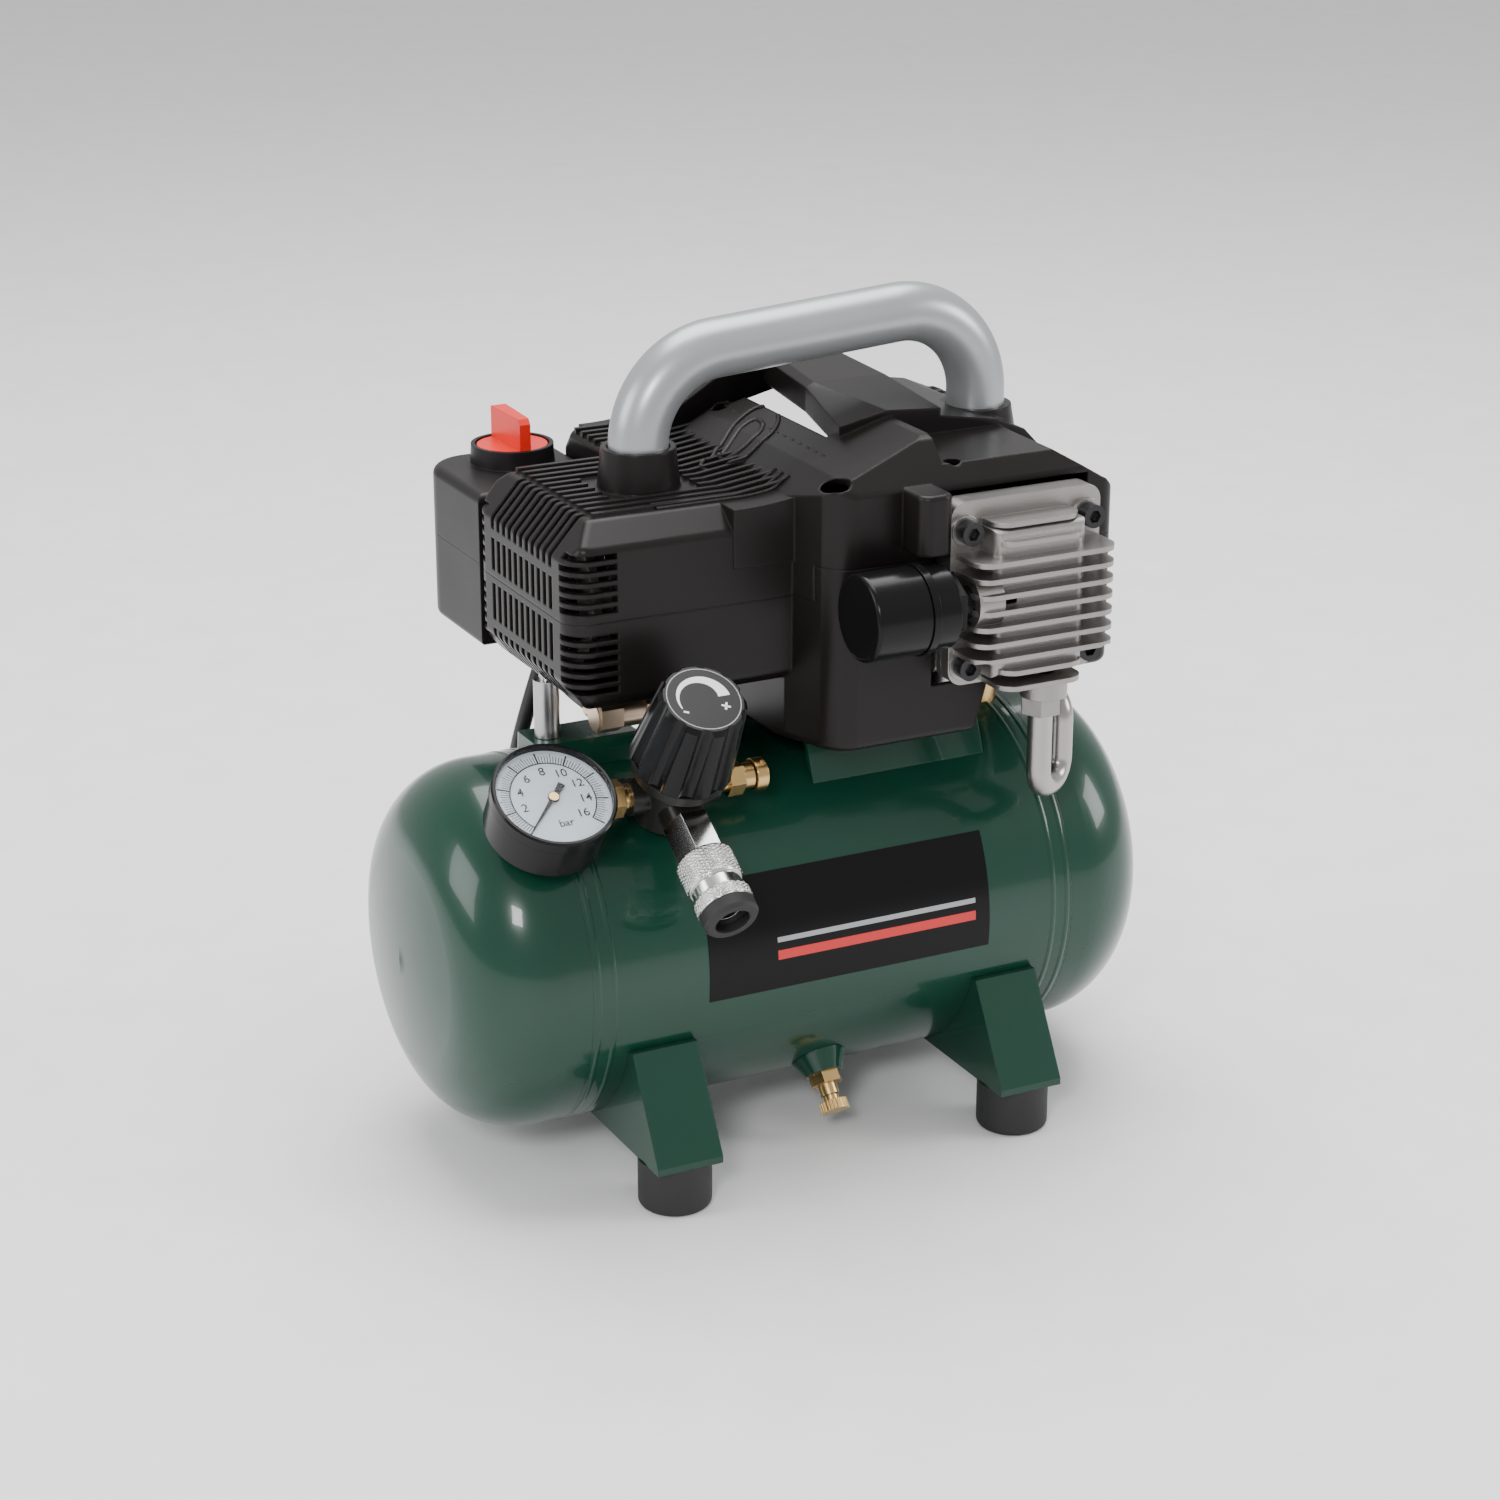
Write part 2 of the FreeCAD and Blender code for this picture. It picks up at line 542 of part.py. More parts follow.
def make_cylinder_unit():
    front = rounded_edges(block(46, 118, DECK, -26, CASE_LOW, 283), 6, is_along_x)
    rear = rounded_edges(block(46, 118, -34, 32, 218, 274.5), 6, is_along_x)
    hub = cylinder(20, 34, (14, 0, "crank_z"), ALONG_X)
    chamber = block(52, 112, -30, 28, 223, 270)
    bore = cylinder("bore_radius + 3.6", 60, ("bore_x", -20, "crank_z"), FORWARD)
    race_seat = cylinder(13, 18, (12, 0, "crank_z"), ALONG_X)
    way = cylinder(10.5, 60, (10, 0, "crank_z"), ALONG_X)
    mount_holes = [cylinder(3.2, 12, (x, y, 205)) for x, y in PUMP_MOUNTS]
    pads = [block(10, 32, -32, 32, CASE_LOW, 217), block(14, 47, -8, 8, CASE_LOW, 232),
            block(68, 92, -32, 32, CASE_LOW, 224)]
    bolts = [cylinder(2.6, 30, (x, "-deck_y + 25", z), FORWARD) for x, z in head_bolt_places()]
    node("crankcase", cut(fuse(front, rear, hub, *pads), chamber, bore, race_seat, way,
                          *mount_holes, bunch(*bolts)))

    liner = ring("bore_radius + 3.4", "bore_radius", 46, ("bore_x", -30, "crank_z"), FORWARD)
    node("cylinder_liner", liner)

    plate = block(46, 118, "-head_back", DECK, "head_low", "head_high")
    rounded = rounded_edges(plate, 7, is_along_y)
    ports = [cylinder(3, 12, (x, -70, z), FORWARD) for x in (72, 92) for z in (235, 247, 259)]
    bolt_ways = [cylinder(2.8, 12, (x, -72, z), FORWARD) for x, z in head_bolt_places()]
    node("valve_plate", cut(rounded, bunch(*ports), bunch(*bolt_ways)))

    inlet = block(67, 77, "-deck_y", "-deck_y + 0.35", 230, 264)
    outlet = block(87, 97, "-head_back - 0.35", "-head_back", 230, 264)
    node("reed_valves", bunch(inlet, outlet))

    eye = cylinder(10.5, 12, (76, 0, 0), ALONG_X)
    shank = block(77, 87, -54, -6, -7, 7)
    flare = cylinder(14, 4, ("bore_x", -50, 0), FORWARD)
    hole = cylinder(5.3, 14, (75, 0, 0), ALONG_X)
    node("connecting_rod", cut(fuse(eye, shank, flare), hole), (0, "-crank_throw", "crank_z"))

    crown = cylinder("bore_radius - 0.6", 5, ("bore_x", -54, 0), FORWARD)
    cap = cylinder("bore_radius - 5", 2, ("bore_x", -60.2, 0), FORWARD)
    centre = cylinder(5, 4, ("bore_x", -58, 0), FORWARD)
    node("piston", fuse(crown, cap, centre), (0, "-crank_throw", "crank_z"))
    seal = ring("bore_radius - 0.06", 5, 1.2, ("bore_x", -59, 0), FORWARD)
    node("piston_seal", seal, (0, "-crank_throw", "crank_z"))


def head_bolt_places():
    return [(size("bore_x") + sx * 29.2, 247 + sz * 29.2) for sz in (1, -1) for sx in (-1, 1)]


def is_along_x(edge):
    return isinstance(edge.Curve, Part.Line) and abs(edge.Curve.Direction.x) > 0.999


def is_along_y(edge):
    return isinstance(edge.Curve, Part.Line) and abs(edge.Curve.Direction.y) > 0.999


FIN_LEFT, FIN_RIGHT = 48.5, 116.5
LOW_FIN_Z = 210.5


def fin(index):
    """One horizontal fin: full ones in the middle, shorter ones above and below."""
    left, right, front = FIN_LEFT, FIN_RIGHT, "fin_front"
    if index > 8:
        left, right, front = 61, 103, f"fin_front - {3 + 5 * (index - 9)}"
    if index < 2:
        left, right, front = 62, 102, "fin_front - 1"
    height = f"{LOW_FIN_Z} + {index} * fin_pitch - fin_thick / 2"
    outline = [(left, "-head_back"), (left, f"-({front}) + 8"), (left + 8, f"-({front})"),
               (right - 8, f"-({front})"), (right, f"-({front}) + 8"), (right, "-head_back")]
    return slab("XY", outline, "fin_thick", (0, 0, height), arcs={1: (8, -1), 3: (8, -1)})


def make_head():
    low, high = "bore_x - head_half_x", "bore_x + head_half_x"
    flange = rounded_edges(block(low, high, "-head_back - head_plate", "-head_back",
                                 "head_low", "head_high"), 7, is_along_y)
    core = rounded_edges(block(60, 104, -100, "-head_back", 214, 278), 5, is_along_z_or_x)
    fins = [fin(index) for index in range(11)]
    outlet = cylinder(10, 8, (88, -94, 202))
    inlet = cylinder(11.5, 12, (50, FILTER_Y, FILTER_Z), ALONG_X)
    bosses = [cylinder(6.5, 7, (x, "-head_back", z), FORWARD) for x, z in head_bolt_places()]
    metal = fuse(flange, core, *fins, outlet, inlet, *bosses)
    chambers = [block(63, 79, -94, -79, 219, 273), block(83, 101, -94, -79, 219, 273)]
    ways = [cylinder(5.5, 30, (88, -91, 190)), cylinder(7.1, 30, (40, FILTER_Y, FILTER_Z), ALONG_X)]
    bolt_ways = [cylinder(2.8, 20, (x, -74, z), FORWARD) for x, z in head_bolt_places()]
    spot_faces = [cylinder(6.2, 30, (x, -87, z), FORWARD) for x, z in head_bolt_places()]
    node("cylinder_head", cut(metal, *chambers, *ways, bunch(*bolt_ways), bunch(*spot_faces)))

    screws = []
    for x, z in head_bolt_places():
        head = cut(cylinder(5, 6, (0, 0, 0)), hexagon(5, 4, (0, 0, 3)))
        shank = cylinder(2.5, 30, (0, 0, -30))
        screws.append(put(fuse(head, shank), (x, -87, z), FORWARD))
    node("head_bolts", bunch(*screws))

    nut = cut(hexagon(16, 8, (0, 0, 0)), cylinder(5.4, 12, (0, 0, -2)))
    node("discharge_nut", nut, (88, -92, 193.8))
    points = [Vec(88, -92, 201), Vec(88, -92, 158), Vec(106, -80, 158),
              Vec(106, -80, 193), Vec(106, -25.2, 193)]
    pipe, _, _ = swept_tube(points, 5.3, bend=9.5, inner=4)
    node("discharge_pipe", pipe)

    tank_thread = cylinder(7, 16, (0, 0, 170))
    flats = hexagon(17, 10, (0, 0, 186))
    side = cylinder(6.5, 14, (0, 0, 193), FORWARD)
    crown = cylinder(6, 4, (0, 0, 196))
    bore = cylinder(4, 22, (0, 0, 169))
    socket = cylinder(5.4, 3, (0, -12, 193), FORWARD)
    side_bore = cylinder(4, 16, (0, 0, 193), FORWARD)
    valve = cut(fuse(tank_thread, flats, side, crown), bore, side_bore, socket)
    node("check_valve", valve, (CHECK_X, CHECK_Y, 0))


def is_along_z_or_x(edge):
    return is_vertical(edge) or is_along_x(edge)


FILTER_Y, FILTER_Z = -93, 248


def make_filter():
    axis = (0, FILTER_Y, FILTER_Z)
    lid = [(0, 0), (16.5, 0), (18.5, 2), (18.5, 25), (17.3, 25), (17.3, 2.5), (0, 2.5)]
    node("filter_cap", turned(lid, arcs={1: (2, -1)}), (-1, *axis[1:]), ALONG_X)
    shell = cut(cylinder(19.2, 3.4, (0, 0, 25.4)), cylinder(13.5, 8, (0, 0, 24)))
    barrel = cut(cylinder(17.6, 12, (0, 0, 27)), cylinder(13.5, 9, (0, 0, 26)))
    flats = hexagon(24, 6, (0, 0, 38.5))
    spigot = cylinder(7, 17, (0, 0, 44))
    way = cylinder(4.5, 40, (0, 0, 30))
    node("filter_housing", cut(fuse(shell, barrel, flats, spigot), way), (-1, *axis[1:]), ALONG_X)



# ---------------------------------------------------------------- cowl
PUMP_LEFT = -10
CHANNEL_LEFT, CHANNEL_RIGHT = 24, 76     # see-through channel under the moulded bridge
ROOF_Z = 287.5


def shared_solid(*solids):
    result = solids[0]
    for other in solids[1:]:
        result = common(result, other)
    return result


def motor_body(t):
    """The motor end of the cowl, t inside its outer faces."""
    half, base, end, roof = (f"(cowl_half - {t})", f"(cowl_base + {t})", f"(cowl_left - {t})",
                             f"({ROOF_Z} - {t})")
    side = [(f"-{half}", f"{base} + 5"), (f"-{half}", f"278 - 0.4 * {t}"),
            (f"-{half} + 12", roof), (f"{half} - 6", roof), (half, f"{roof} - 5"),
            (half, f"{base} + 5"), (f"{half} - 6", base), (f"-{half} + 6", base)]
    length = [(f"-{end}", f"{base} + 12"), (f"-{end}", 273), (f"-{end} + 13", roof), (16, roof),
              (16, base), (f"-{end} + 9", base)]
    plan = [(f"-{end} + 11", f"-{half}"), (16, f"-{half}"), (16, half), (f"-{end} + 11", half),
            (f"-{end}", f"{half} - 11"), (f"-{end}", f"-{half} + 11")]
    return shared_solid(slab("YZ", side, f"{end} + 16", (f"-{end}", 0, 0)),
                        slab("XZ", length, 120, (0, 60, 0)),
                        slab("XY", plan, 100, (0, 0, 200), arcs={3: (11, -1), 5: (11, -1)}))


def pump_body(t):
    """The crank and cylinder end of the cowl, t inside its outer faces."""
    left, right, back = f"({PUMP_LEFT} + {t})", f"(pump_right - {t})", f"(60 - {t})"
    front, base = f"(pump_front - {t})", f"(pump_base + {t})"
    plan = [(left, -46), (f"{left} + 7", f"-{front} + 9"), (f"{left} + 20", f"-{front}"),
            (f"{right} - 7", f"-{front}"), (right, f"-{front} + 7"), (right, f"{back} - 14"),
            (f"{right} - 14", back), (left, back)]
    length = [(left, base), (f"66 + {t}", base), (f"72 + {t}", f"203 + {t}"),
              (f"{right} - 4", f"203 + {t}"), (right, 208), (right, f"280 - {t} / 2"),
              (118, f"297 - {t}"), (104, f"303 - {t}"), (60, f"310.5 - {t}"),
              (48, f"310 - {t}"), (f"6 + {t}", f"298 - {t}"), (left, f"289 - {t}")]
    side = [(f"-{front}", base), (f"-{front}", f"293 - {t}"), (f"-{front} + 15", f"309 - {t}"),
            (-20, 320), (f"{back} - 8", 320), (back, 296), (back, base)]
    return shared_solid(slab("XY", plan, 150, (0, 0, 175), arcs={1: (16, -1), 3: (7, -1), 5: (14, -1)}),
                        slab("XZ", length, 180, (0, 90, 0)), slab("YZ", side, 160, (-15, 0, 0)))


def crest(t):
    """The ramp and ridge between the motor end and the see-through channel."""
    edge = f"24 - {t}"
    corners = [(f"-36 + {t}", 262), (f"-36 + {t}", f"{ROOF_Z} - 0.2 - {t}"), (0, f"291 - {t}"),
               (14, f"298.6 - {t}"), (f"{edge} - 4", f"300 - {t}"), (edge, f"297 - {t}"),
               (edge, f"252 + {t}"), (f"-8 + {t}", f"252 + {t}"), (f"-8 + {t}", 262)]
    return slab("XZ", corners, f"155 - 2 * {t}", (0, f"104 - {t}", 0),
                arcs={1: (150, -1), 2: (40, -1)})


def rear_body(t):
    """The box behind the motor end that holds the run capacitor."""
    side = [(40, f"232 + {t}"), (f"98 - {t}", f"232 + {t}"), (f"104 - {t}", 240),
            (f"104 - {t}", 279), (f"97 - {t}", f"{ROOF_Z} - {t}"), (40, f"{ROOF_Z} - {t}")]
    return slab("YZ", side, f"57 - 2 * {t}", (f"-44 + {t}", 0, 0))


CHANNEL_LOW_FRONT = 31


def channels(t):
    """Room kept free for the channel: t is 0 outside the cowl wall, the wall inside it."""
    left, right = f"{CHANNEL_LEFT} - {t}", f"{CHANNEL_RIGHT} + {t}"
    low = block(left, right, f"35 - {t}", 140, f"250 - {t}", 330)
    high = block(left, right, f"-18 - {t}", 40, f"278 - {t}", 330)
    shelf = [(f"52 - {t}", f"300 - {t}"), (105, f"300 - {t}"), (128, f"286 - {t}"),
             (142, f"286 - {t}"), (142, 330), (f"52 - {t}", 330)]
    return [low, high, slab("XZ", shelf, 60, (0, f"-24 + {t}", 0))]


def section(plane, where, corners):
    """One closed outline of a loft, across X or across Y."""
    points = [Vec(where, u, v) if plane == "X" else Vec(u, where, v) for u, v in corners]
    return Part.makePolygon(points + points[:1])


def make_bridge():
    """The moulded bar over the channel and the ramp that carries it, a loft with Part's own
    calls because its sections are skewed."""
    bar = [section("Y", 74, [(38, 307), (38, 318), (42, 320.5), (68, 320.5), (68, 308)]),
           section("Y", 20, [(34, 304), (34, 315), (38, 317), (73, 316.5), (73, 304)]),
           section("Y", -24, [(27, 299), (27, 308.5), (50, 313), (76, 311), (76, 299)])]
    ramp = [section("X", 60, [(64, 308), (64, 318.5), (69, 320.5), (84, 320.5), (88, 317), (88, 308)]),
            section("X", 20, [(66, 298), (66, 315), (70, 317.5), (88, 317), (92, 313), (92, 298)]),
            section("X", -26, [(70, 280), (70, 285), (73, 287.5), (97, 287.5), (101, 285), (101, 280)])]
    obj = doc.addObject("Part::Feature", "Bridge")
    obj.Shape = Part.makeLoft(bar, True, True).fuse(Part.makeLoft(ramp, True, True))
    return obj


def roof_ribs():
    """Low ribs along the motor roof and up the ramp, interrupted by the handle's collar."""
    ribs = []
    for i in range(19):
        y = -35.2 + 7 * i
        starts = [-92]
        if abs(y + 1.2) < 18:
            ribs.append(block(-92, -75, y, y + 2.4, ROOF_Z - 0.5, ROOF_Z + 1.6))
            starts = [-34]
        if y > 44:
            starts = [-43]
        for start in starts:
            climb = [(start, 286.5), (start, 289.1), (-28, 289.1), (0, 292.9), (11, 298.4),
                     (14, 300.6), (17, 300.2), (12, 295), (0, 289.5), (-28, 286)]
            ribs.append(slab("XZ", climb, 2.4, (0, y + 2.4, 0)))
    return ribs


def grille_ways():
    """The ventilation slots of the end face and of its two corners."""
    ways = []
    for i in range(11):
        y = -30 + 6 * i
        for low, high in ((206, 224), (228, 244), (250, 264)):
            ways.append(block(-112, -101, y - 1.6, y + 1.6, low, high))
        ways.append(block(-112, -93, y - 1.6, y + 1.6, 268, 290))
    for side in (-1, 1):
        for low in (251, 217):
            for i in range(6):
                z = low + 4.5 * i
                y0, y1 = sorted((side * 39, side * 53))
                ways.append(block(-112, -88, y0, y1, z, z + 2.6))
    return bunch(*ways)


def is_top_of_boss(edge):
    return edge.BoundBox.ZMin > 293.9


def make_cowl():
    cups = [cone(18, 15.8, "rim_z - 284", ("handle_left", 0, 284)),
            cone(18, 15.8, "rim_z - 292", ("handle_right", 0, 292))]
    outline = [(30, -72), (30, -86), (35, -91), (41, -91), (45.4, -86.6), (45.4, -72)]
    boss = slab("XY", outline, 25.5, (0, 0, 268.5), arcs={1: (5.5, -1), 3: (5.5, -1)})
    back_ribs = [block(108, 133, 19 + 7 * i, 21.4 + 7 * i, 272, 300) for i in range(5)]
    outside = fuse(rounded_edges(motor_body(0), 4, bool), rounded_edges(pump_body(0), 4, is_along_x),
                   crest(0), rounded_edges(rear_body(0), 4, bool),
                   rounded_edges(boss, 2, is_top_of_boss), *cups, *roof_ribs())
    ribbed = fuse(cut(outside, *channels(0)), make_bridge(),
                  common(pump_body(-1.4), bunch(*back_ribs)))
    inside = cut(fuse(motor_body("cowl_wall"), pump_body("cowl_wall"), crest("cowl_wall"),
                      rear_body("cowl_wall")), *channels("cowl_wall"))
    ways = [block(45, 119, -80, -66, 206, 290),
            cylinder(3.2, 10, (MOTOR_MOUNT_X, 0, 204)),
            cylinder("handle_radius + 0.7", 30, ("handle_left", 0, ROOF_Z)),
            cylinder("handle_radius + 0.05", 30, ("handle_right", 0, 284)),
            cylinder("handle_radius + 0.7", 30, ("handle_right", 0, 296)),
            cylinder(5, 26, (3.5, -56, 287), Turn(Vec(1, 0, 0), 45)),
            cylinder(4.5, 14, (16, 60, 290), Turn(Vec(0, 1, 0), -20)),
            cylinder(3.6, 20, (58, -62, 292), Turn(Vec(1, 0, 0), 20)),
            *[cylinder(8.5, 40, (x, y, 175)) for x, y in PUMP_MOUNTS]]
    shell = cut(ribbed, inside, grille_ways(), bunch(*ways))
    below = fuse(block(-150, -4, -120, 120, 150, "cowl_split"),
                 block(-4, 150, -120, CHANNEL_LOW_FRONT, 150, "pump_split"),
                 block(-4, 150, CHANNEL_LOW_FRONT, 120, 150, 246))
    node("cowl_upper", cut(shell, below))
    node("cowl_lower", common(shell, below))
    can = rounded_edges(cylinder(17, 44, (-38, 76, 260), ALONG_X), 1.5, bool)
    studs = [cylinder(1.2, 4, (5, 76 + dy, 260), ALONG_X) for dy in (-5, 5)]
    node("run_capacitor", fuse(can, *studs))


def make_handle():
    left, right = size("handle_left"), size("handle_right")
    points = [Vec(left, 0, ROOF_Z), Vec(left, 0, 340), Vec(right, 0, 351.5), Vec(right, 0, 284.5)]
    tube, _, _ = swept_tube(points, "handle_radius", bend=38, inner="handle_radius - 1.5")
    node("carry_handle", tube)


# ---------------------------------------------------------------- switch
BOX_LEFT, BOX_RIGHT, BOX_FRONT, BOX_REAR = -107, -44.3, 50.3, 118


def box_outline(t):
    left, right, front, rear = BOX_LEFT + t, BOX_RIGHT - t, BOX_FRONT + t, BOX_REAR - t
    corner = 20 - t
    return [(left, front), (right, front), (right, rear - 6), (right - 6, rear),
            (left + corner, rear), (left, rear - corner)], {2: (6, -1), 4: (corner, -1)}


def make_switch():
    wall = 2.5
    outline, arcs = box_outline(0)
    hollow, hollow_arcs = box_outline(wall)
    low = rounded_edges(slab("XY", outline, "cowl_split - 209", (0, 0, 209), arcs=arcs), 3,
                        lambda edge: edge.BoundBox.ZMax < 209.1)
    room = slab("XY", hollow, 60, (0, 0, 209 + wall), arcs=hollow_arcs)
    node("switch_box_lower", cut(low, room))
    high = rounded_edges(slab("XY", outline, "277 - cowl_split", (0, 0, "cowl_split"), arcs=arcs),
                         4, lambda edge: edge.BoundBox.ZMin > 276.9)
    collar = cone(19, 18.2, 16, ("knob_x", "knob_y", 269.5))
    upper_room = slab("XY", hollow, "277 - 2.5 - 240", (0, 0, 240), arcs=hollow_arcs)
    recess = cylinder(16.3, 10, ("knob_x", "knob_y", 279.5))
    way = cylinder(4, 30, ("knob_x", "knob_y", 262))
    node("switch_box_upper", cut(fuse(high, collar), upper_room, recess, way))
    block_body = block(-98, -52, 66, 110, 213, 258)
    lugs = [cylinder(3, 12, (x, y, 250)) for x in (-94, -56) for y in (70, 106)]
    node("pressure_switch", cut(fuse(block_body, *lugs), cylinder(4.2, 20, ("knob_x", "knob_y", 250))))
    disc = cylinder(15.6, 5, (0, 0, -5))
    stub = cylinder(3.5, 22, (0, 0, -26))
    ridge = slab("XY", [(-2.5, -15), (2.5, -15), (3.6, 15), (-3.6, 15)], 15, (0, 0, -1))
    trim = slab("YZ", [(-15.5, -2), (-15.5, 11), (-13, 14), (15.5, 14), (15.5, -2)], 20, (-10, 0, 0))
    node("switch_knob", fuse(disc, stub, common(ridge, trim)), ("knob_x", "knob_y", "knob_z"))


# ---------------------------------------------------------------- air line
AIR_ORIGIN = ("air_x", "air_y * cos(air_tilt) - air_rise * sin(air_tilt)",
              "tank_z + air_y * sin(air_tilt) + air_rise * cos(air_tilt)")


def air_node(label, obj):
    """A node drawn about the regulator's centre: Z along its knob, -Y along the coupler."""
    return node(label, obj, AIR_ORIGIN, AIR_TURN)


def make_supply():
    leg = cylinder(5.4, 25, (STAND_X, STAND_Y, 168))
    flats = hexagon(13, 8, (STAND_X, STAND_Y, 176))
    across = cylinder(6, 36, (-82, STAND_Y, 192), ALONG_X)
    nuts = [hexagon(14, 10, (x, STAND_Y, 192.6), ALONG_X) for x in (-60, -81)]
    branch = cylinder(4.5, 12, (-77, STAND_Y, 192), BACKWARD)
    bore = cylinder(3, 32.7, (STAND_X, STAND_Y, 160))
    node("supply_fitting", cut(fuse(leg, flats, across, *nuts, branch), bore))
    points = [Vec(-77, 2, 192), Vec(-77, 28, 192.5), Vec(-76, 54, 197), Vec(-75, 73, 210.4)]
    pipe, _, _ = swept_tube(points, 3, ratio=0.45, inner=2)
    node("supply_pipe", pipe)


def make_regulator():
    trunk = rounded_edges(cylinder(14.5, 26, (0, 0, -14)), 2, bool)
    arms = cylinder(8, 40, (-20, 0, 0), ALONG_X)
    front_arm = cylinder(9.5, 19, (0, 0, 0), FORWARD)
    bonnet = [cylinder(15.5, 11, (0, 0, 11)), cylinder(12, 8, (0, 0, 22))]
    inlet = cylinder(OUTLET_RADIUS - 0.2, 10, (0, 0, -23))
    chamber = cylinder(9, 20, (0, 0, 6))
    way = cylinder(4.08, 8, (0, 0, 24))
    lines = [cylinder(3, 30, (0, 0, -26)), cylinder(3, 44, (-22, 0, 0), ALONG_X),
             cylinder(4, 22, (0, 0, 0), FORWARD)]
    air_node("regulator_body", cut(fuse(trunk, arms, front_arm, *bonnet, inlet),
                                   chamber, way, *lines))
    air_node("regulator_ring", ring(20, 15.55, 5, (0, 0, 14)))

    profile = [(22, 21), (18.5, 57.2), (16.8, 59.2), (0, 59.2), (0, 18), (4, 18), (4, 56),
               (15.8, 56), (18.6, 21)]
    flutes = []
    for i in range(10):
        angle = math.radians(36 * i)
        lean = Turn(Vec(-math.sin(angle), math.cos(angle), 0), -5.5)
        flutes.append(cylinder(4, 48, (24.4 * math.cos(angle), 24.4 * math.sin(angle), 16), lean))
    air_node("regulator_knob", cut(turned(profile), bunch(*flutes)))

    stem = cylinder(5.6, 9, (-29, 0, 0), ALONG_X)
    nut = hexagon(14, 5, (-28, 0, 0), ALONG_X)
    air_node("gauge_fitting", cut(fuse(stem, nut), cylinder(2.2, 12, (-30, 0, 0), ALONG_X)))

    neck = cylinder(5, 8, (20, 0, 0), ALONG_X)
    flats = hexagon(13, 7, (25, 0, 0), ALONG_X)
    barrel = cylinder(5.6, 6, (31, 0, 0), ALONG_X)
    way = cylinder(1.7, 20, (19, 0, 0), ALONG_X)
    air_node("safety_valve_body", cut(fuse(neck, flats, barrel), way))
    stem = cylinder(1.6, 14, (25, 0, 0), ALONG_X)
    cap = rounded_edges(cylinder(7, 5.5, (37.4, 0, 0), ALONG_X), 0.6, bool)
    pin = cylinder(0.9, 17, (40.2, 0, -8.5))
    air_node("safety_valve_pull", fuse(stem, cap, pin))


def make_gauge():
    centre = "-gauge_offset"
    profile = [(0, -13.5), (22.5, -13.5), (25.4, -10.5), (25.4, 5.4), ("gauge_radius", 6),
               ("gauge_radius", 10.8), (25.6, 11.6), (24.4, 11.6), (24.4, -11.5), (5, -11.5),
               (5, 3), (0.9, 3), (0.9, -10), (0, -10)]
    side_boss = cylinder(6.6, 4.2, (-33.2, 0, 0), ALONG_X)
    case = fuse(turned(profile, (centre, 0, 0)), side_boss)
    air_node("gauge_case", case)
    air_node("gauge_dial", ring(24.35, 1.2, 0.8, (centre, 0, 7.6)))
    air_node("gauge_lens", cylinder(24.35, 1.1, (centre, 0, 10.3)))
    pointer = slab("XY", [(-1.6, -8), (1.6, -8), (0.9, 0), (0.3, 19), (-0.3, 19), (-0.9, 0)],
                   0.5, (0, 0, 9))
    hub = [cylinder(2.4, 0.8, (0, 0, 8.9)), cylinder(0.82, 17, (0, 0, -8))]
    needle = put(fuse(pointer, *hub), (centre, 0, 0), Turn(Vec(0, 0, 1), 135))
    air_node("gauge_needle", needle)


def make_coupler():
    core = [cylinder(6.5, 6, (0, -17, 0), FORWARD), hexagon(19, 18, (0, -19, 0), FORWARD),
            rounded_edges(cylinder(11.8, 14, (0, -37, 0), FORWARD), 0.8, bool),
            cylinder(10.7, 13, (0, -50.6, 0), FORWARD)]
    socket = cylinder(5.2, 30, (0, -44, 0), FORWARD)
    way = cylinder(3.5, 60, (0, -10, 0), FORWARD)
    inner = cylinder(6.5, 2.2, (0, -16.9, 0), FORWARD)
    air_node("coupler_body", cut(fuse(*core), socket, way, inner))
    sleeve = rounded_edges(ring(11.8, 10.78, 6.5, (0, -56, 0), FORWARD), 0.4,
                           lambda edge: edge.Length > 73)
    air_node("coupler_sleeve", sleeve)
    lip = turned([(11.9, 0), (11.9, 5), (10.6, 6.5), (7.6, 6.5), (7.6, 5.4), (10.8, 5.4),
                  (10.8, 0)], (0, -62.5, 0), FORWARD)
    air_node("coupler_bumper", lip)


# ---------------------------------------------------------------- mains lead
COIL_X, COIL_Y, COIL_MEAN = 80, 178, 39
COIL_LINE = COIL_Y - COIL_MEAN
CORD_ROUTE = [(-72, 70, 188), (-83.5, 70, 156), (-77, 92, 127), (-62, 118, 97),
              (-48, 134, 60), (-28, 142, 22), (12, 139.5, 3.8), (53, COIL_LINE, 3.8)]


